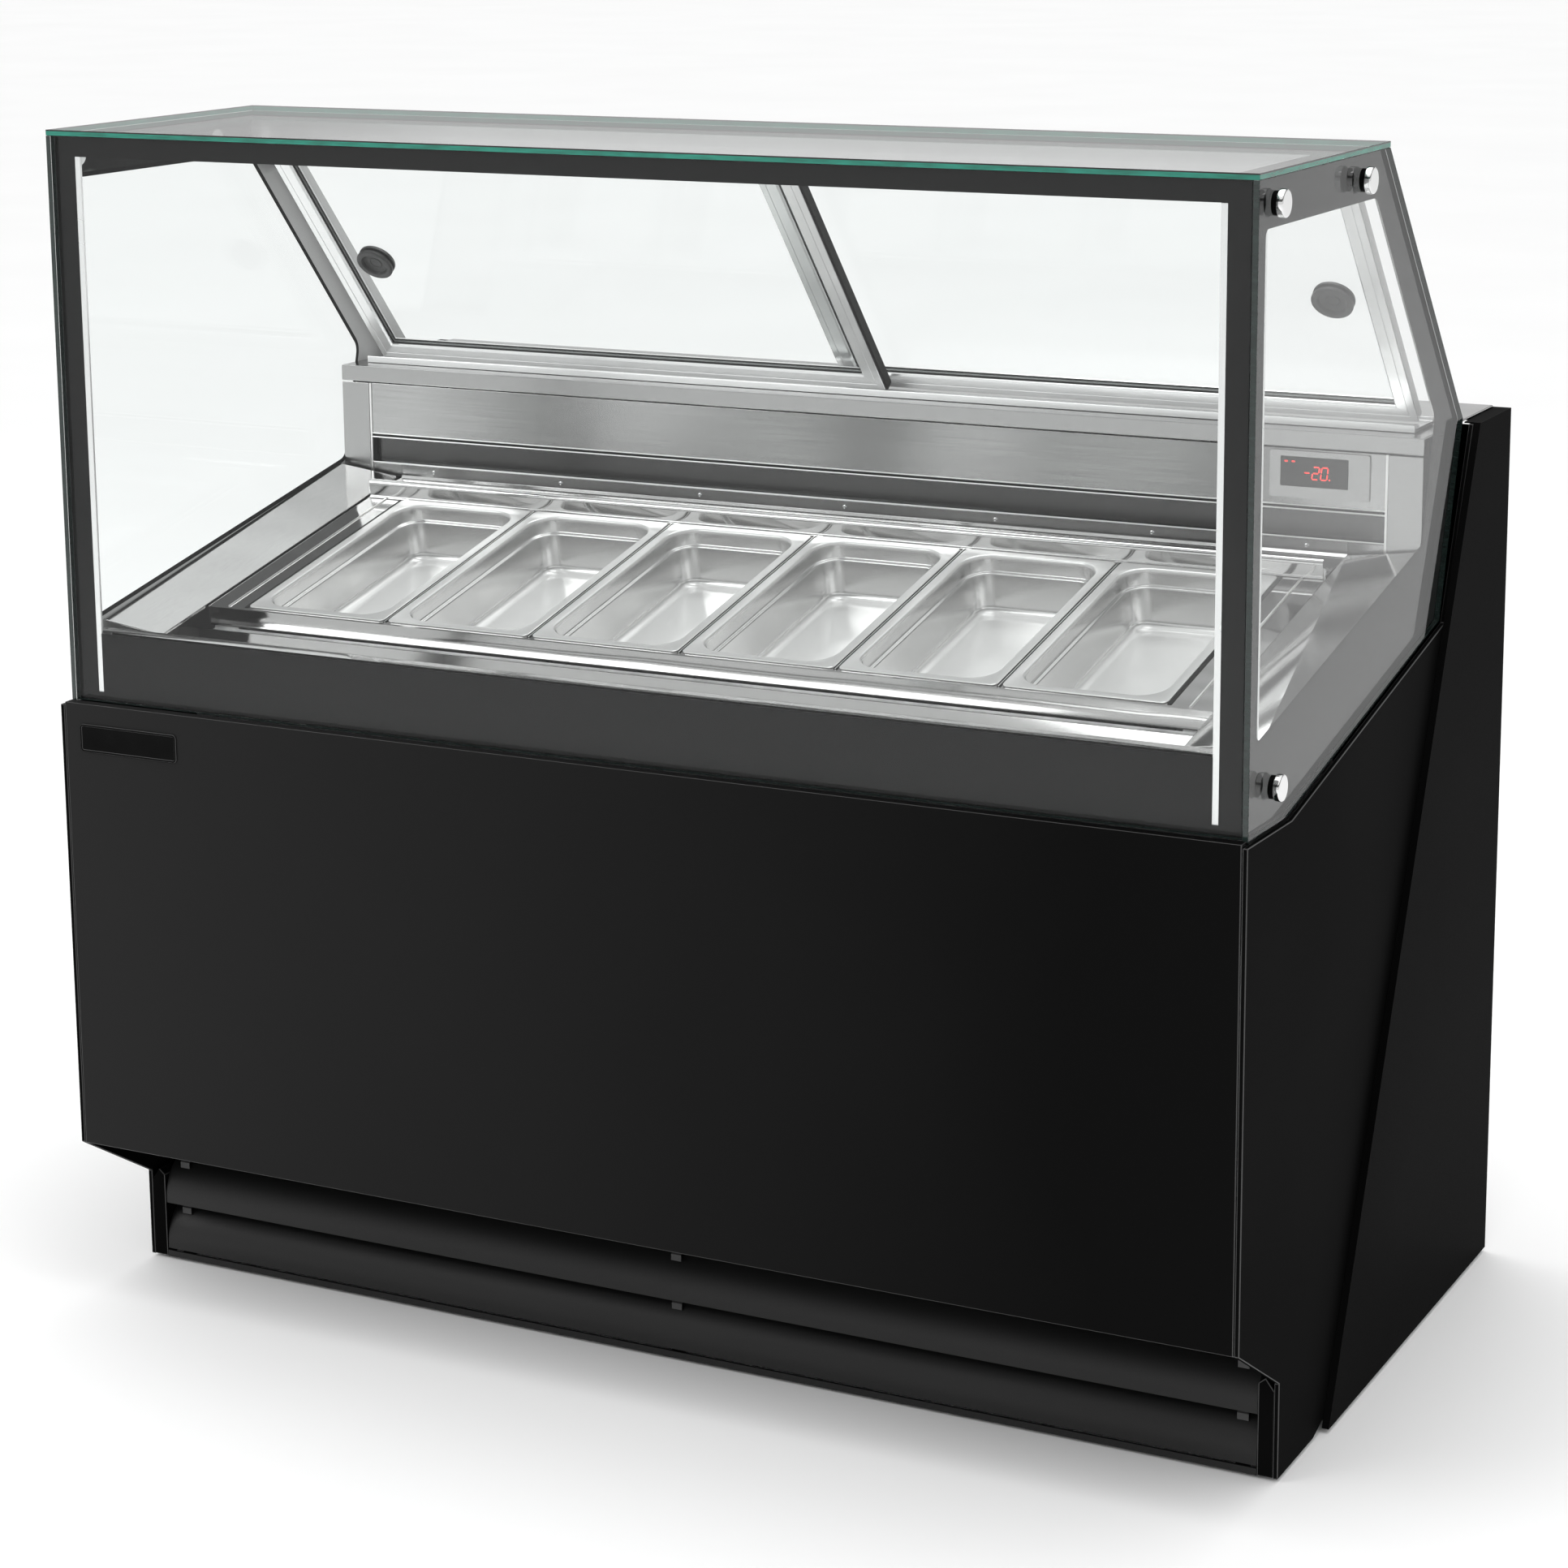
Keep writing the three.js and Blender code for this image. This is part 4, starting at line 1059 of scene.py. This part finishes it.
def along_at(inward, z):
    """How far up the slant a point at height z lies, inward of the rear edge."""
    return (z - GLASS_REAR.y - SLANT.x * inward) / SLANT.y


def door_matrix(inward):
    """From a door's own plane, x across, y up the slant and z inwards, to the row frame."""
    origin = at(0, GLASS_REAR.x - SLANT.y * inward, GLASS_REAR.y + SLANT.x * inward)
    right, up = Vector((1, 0, 0)), Vector((0, SLANT.x, SLANT.y))
    return placed(origin, right, up, right.cross(up))


def rail_profile():
    """A door rail's section with eased edges, a fine groove on both faces and the slot for the pane."""
    groove, seat, lip = 0.5, 14, 2.3
    face = [(0.6, DOOR_HALF), (7.6, DOOR_HALF), (8.0, DOOR_HALF - groove), (9.0, DOOR_HALF - groove),
            (9.4, DOOR_HALF), (20.2, DOOR_HALF), (DOOR_STILE, DOOR_HALF - 1.6),
            (DOOR_STILE, lip), (seat, lip)]
    other = [(w, -n) for w, n in reversed(face)]
    return [(0, DOOR_HALF - 0.6), *face, *other, (0, 0.6 - DOOR_HALF)]


def on_door(x, n, y):
    return Vector((x, y, n)) * MM


def make_door(side):
    """A mitred frame with its gasket, the pull, and on the left door the seal where the two meet."""
    name = f"{side}_door"
    inward = DOOR_DEPTHS[side]
    low, high = drawn_box(f"{name}_frame")
    bottom = along_at(inward + DOOR_HALF, low.z)
    top = along_at(inward - DOOR_HALF, high.z)
    matrix = door_matrix(inward)
    meeting = SEAL_WIDTH if side == "left" else 0
    x0, x1 = low.x, high.x - meeting
    rails = frame_bars(x0, x1, bottom, top, rail_profile())
    make_piece(f"{name}_rails", rails, ALUMINIUM_ACROSS, body=name,
               stands_for=[f"{name}_frame"], matrix=matrix, smooth=25)
    shapes = []
    for sign in (1, -1):
        lip = [(21.3, sign * 2.1), (23.4, sign * 2.1), (23.0, sign * 3.3), (21.3, sign * 3.5)]
        shapes += frame_bars(x0, x1, bottom, top, lip)
    make_piece(f"{name}_gasket", shapes, SEAL_RUBBER, body=name, matrix=matrix)
    if meeting:
        section = [(x1 + 0.1, -DOOR_HALF), (high.x, 1 - DOOR_HALF),
                   (high.x, DOOR_HALF - 1), (x1 + 0.1, DOOR_HALF)]
        seal = make_piece(f"{name}_seal", [plate(section, [], on_door, bottom, top)], SEAL_RUBBER,
                          body=name, matrix=matrix)
        ease_edges(seal, 0.6)
    dress([f"{name}_glass"], DOOR_GLASS, 0)
    make_pull(name, matrix, SIDES[side] * PULL_X)


def make_pull(name, matrix, x):
    """A round pull through the pane: a rim, a stepped cup and a small raised ring on each face."""
    radius, face, lip, waist = 22.5, 6.0, 2.3, 18
    half = [(0, 1.3), (6.0, 1.3), (6.6, 1.9), (7.6, 1.9), (8.2, 1.3), (12.5, 1.3), (14.3, 2.2),
            (15.0, 4.6), (16.2, 5.9), (17.4, face), (20.4, face),
            *arc((radius - 1.8, face - 1.8), 1.8, 75, 0, 4), (radius, lip), (waist, lip)]
    profile = half + [(r, -n) for r, n in reversed(half)]
    place = matrix @ Matrix.Translation(Vector((x, PULL_HEIGHT, 0)) * MM)
    make_piece(f"{name}_round_pull", [turned(profile, 64)], PULL_PLASTIC, body=name,
               stands_for=[f"{name}_pull"], matrix=place, smooth=35)


# ---- Parts out of sight ----

def make_inner_parts():
    """The machinery, and the power cable's gland at the back."""
    dress(["compressor"], SHELL_IRON, 0)
    dress(["condenser", "evaporator"], FIN_ALUMINIUM, 0)
    dress(["condenser_fan", "evaporator_fan"], FAN_PLASTIC, 0)
    low, high = drawn_box("cable_gland")
    origin = at((low.x + high.x) / 2, low.y, (low.z + high.z) / 2)
    profile = [(5, 0), (14, 0), (14, 2.6), (13.4, 3.2), (11.6, 3.4),
               (11.2, 6.2), (10.2, 7), (5.8, 7), (5, 6.2)]
    make_piece("gland_ring", [turned(profile, 36)], BLACK_PLASTIC,
               stands_for=["cable_gland"], matrix=axis_matrix(origin, (0, 1, 0)), smooth=35)


# ---- Studio ----

def make_floor():
    half = 70
    mesh = bpy.data.meshes.new("floor")
    mesh.from_pydata([(-half, -half, 0), (half, -half, 0), (half, half, 0), (-half, half, 0)], [],
                     [(0, 1, 2, 3)])
    floor = add_object("floor", mesh)
    look = Look("floor", grey(0.86), 0.7, Specular_IOR_Level=0.1)
    look.vary_color(look.noise(900), grey(0.9), grey(0.92))
    mesh.materials.append(look.material)


def add_light(name, position, target, size, watts):
    data = bpy.data.lights.new(name, "AREA")
    data.shape = "RECTANGLE"
    data.size, data.size_y = size
    data.energy = watts
    light = add_object(name, data)
    light.location = position
    light.rotation_euler = (Vector(target) - Vector(position)).to_track_quat("-Z", "Y").to_euler()
    light.visible_camera = False


# What the steel reflects, from straight down (0) to straight up (1), as (place, brightness).
SURROUNDINGS = [(0.0, 0.9), (0.47, 0.8), (0.5, 0.6), (0.55, 0.9), (0.61, 0.9), (0.66, 0.12),
                (0.77, 0.12), (0.815, 1.0)]
BACKDROP_STRENGTH = 1.12


def ramp_of(tree, value, stops):
    """A grey ramp driven by value, from (place, brightness) stops."""
    ramp = tree.nodes.new("ShaderNodeValToRGB")
    elements = ramp.color_ramp.elements
    while len(elements) > 1:
        elements.remove(elements[0])
    for i, (position, brightness) in enumerate(stops):
        element = elements[0] if i == 0 else elements.new(position)
        element.position = position
        element.color = (*grey(brightness), 1)
    tree.links.new(value, ramp.inputs[0])
    return ramp.outputs[0]


def make_studio():
    """Plain white backdrop; a bright ceiling and darker walls for the steel to reflect; soft boxes."""
    world = bpy.data.worlds.new("studio")
    scene.world = world
    world.use_nodes = True
    tree = world.node_tree
    new, link = tree.nodes.new, tree.links.new
    lighting = tree.nodes["Background"]
    direction = new("ShaderNodeSeparateXYZ")
    coordinates = new("ShaderNodeTexCoord")
    link(coordinates.outputs["Generated"], direction.inputs[0])
    upward = new("ShaderNodeMapRange")
    upward.inputs["From Min"].default_value = -1
    link(direction.outputs["Z"], upward.inputs["Value"])
    link(ramp_of(tree, upward.outputs[0], SURROUNDINGS), lighting.inputs["Color"])
    backdrop = new("ShaderNodeBackground")
    backdrop.inputs["Color"].default_value = (*grey(1.0), 1)
    backdrop.inputs["Strength"].default_value = BACKDROP_STRENGTH
    even = new("ShaderNodeMath")
    even.operation = "MAXIMUM"
    path = new("ShaderNodeLightPath")
    link(path.outputs["Is Camera Ray"], even.inputs[0])
    link(path.outputs["Is Diffuse Ray"], even.inputs[1])
    mix = new("ShaderNodeMixShader")
    link(even.outputs[0], mix.inputs[0])
    link(lighting.outputs[0], mix.inputs[1])
    link(backdrop.outputs[0], mix.inputs[2])
    link(mix.outputs[0], tree.nodes["World Output"].inputs["Surface"])
    add_light("key", (-2.6, -3.2, 3.0), (0, 0, 0.8), (2.4, 1.8), 50)
    add_light("overhead", (0.2, 0.1, 3.3), (0, 0, 0.8), (3.0, 1.6), 40)
    scene.view_settings.view_transform = "Standard"
    scene.cycles.transparent_max_bounces = 24


def make_camera():
    """The viewpoint: to the customer's right, a little above the top glass, looking slightly down."""
    yaw, pitch, roll = -0.4731, 0.2005, 0.0082
    level = math.cos(pitch)
    forward = Vector((math.sin(yaw) * level, math.cos(yaw) * level, -math.sin(pitch)))
    right = Vector((math.cos(yaw), -math.sin(yaw), 0))
    down = forward.cross(right)
    across = right * math.cos(roll) + down * math.sin(roll)
    upright = right * math.sin(roll) - down * math.cos(roll)
    data = bpy.data.cameras.new("camera")
    data.sensor_width = 36
    data.lens = 84.81
    data.shift_y = -0.13
    camera = add_object("camera", data)
    camera.matrix_world = placed(at(1802.1, -3123.4, 1604.7), across, upright, -forward)
    scene.camera = camera


make_camera()
make_body()
make_name_plate()
make_louvres()
make_pans()
make_deck()
make_back_wall()
make_display()
make_glass()
make_prints()
make_corner_beads()
make_clamps()
make_door("left")
make_door("right")
make_inner_parts()
make_floor()
make_studio()
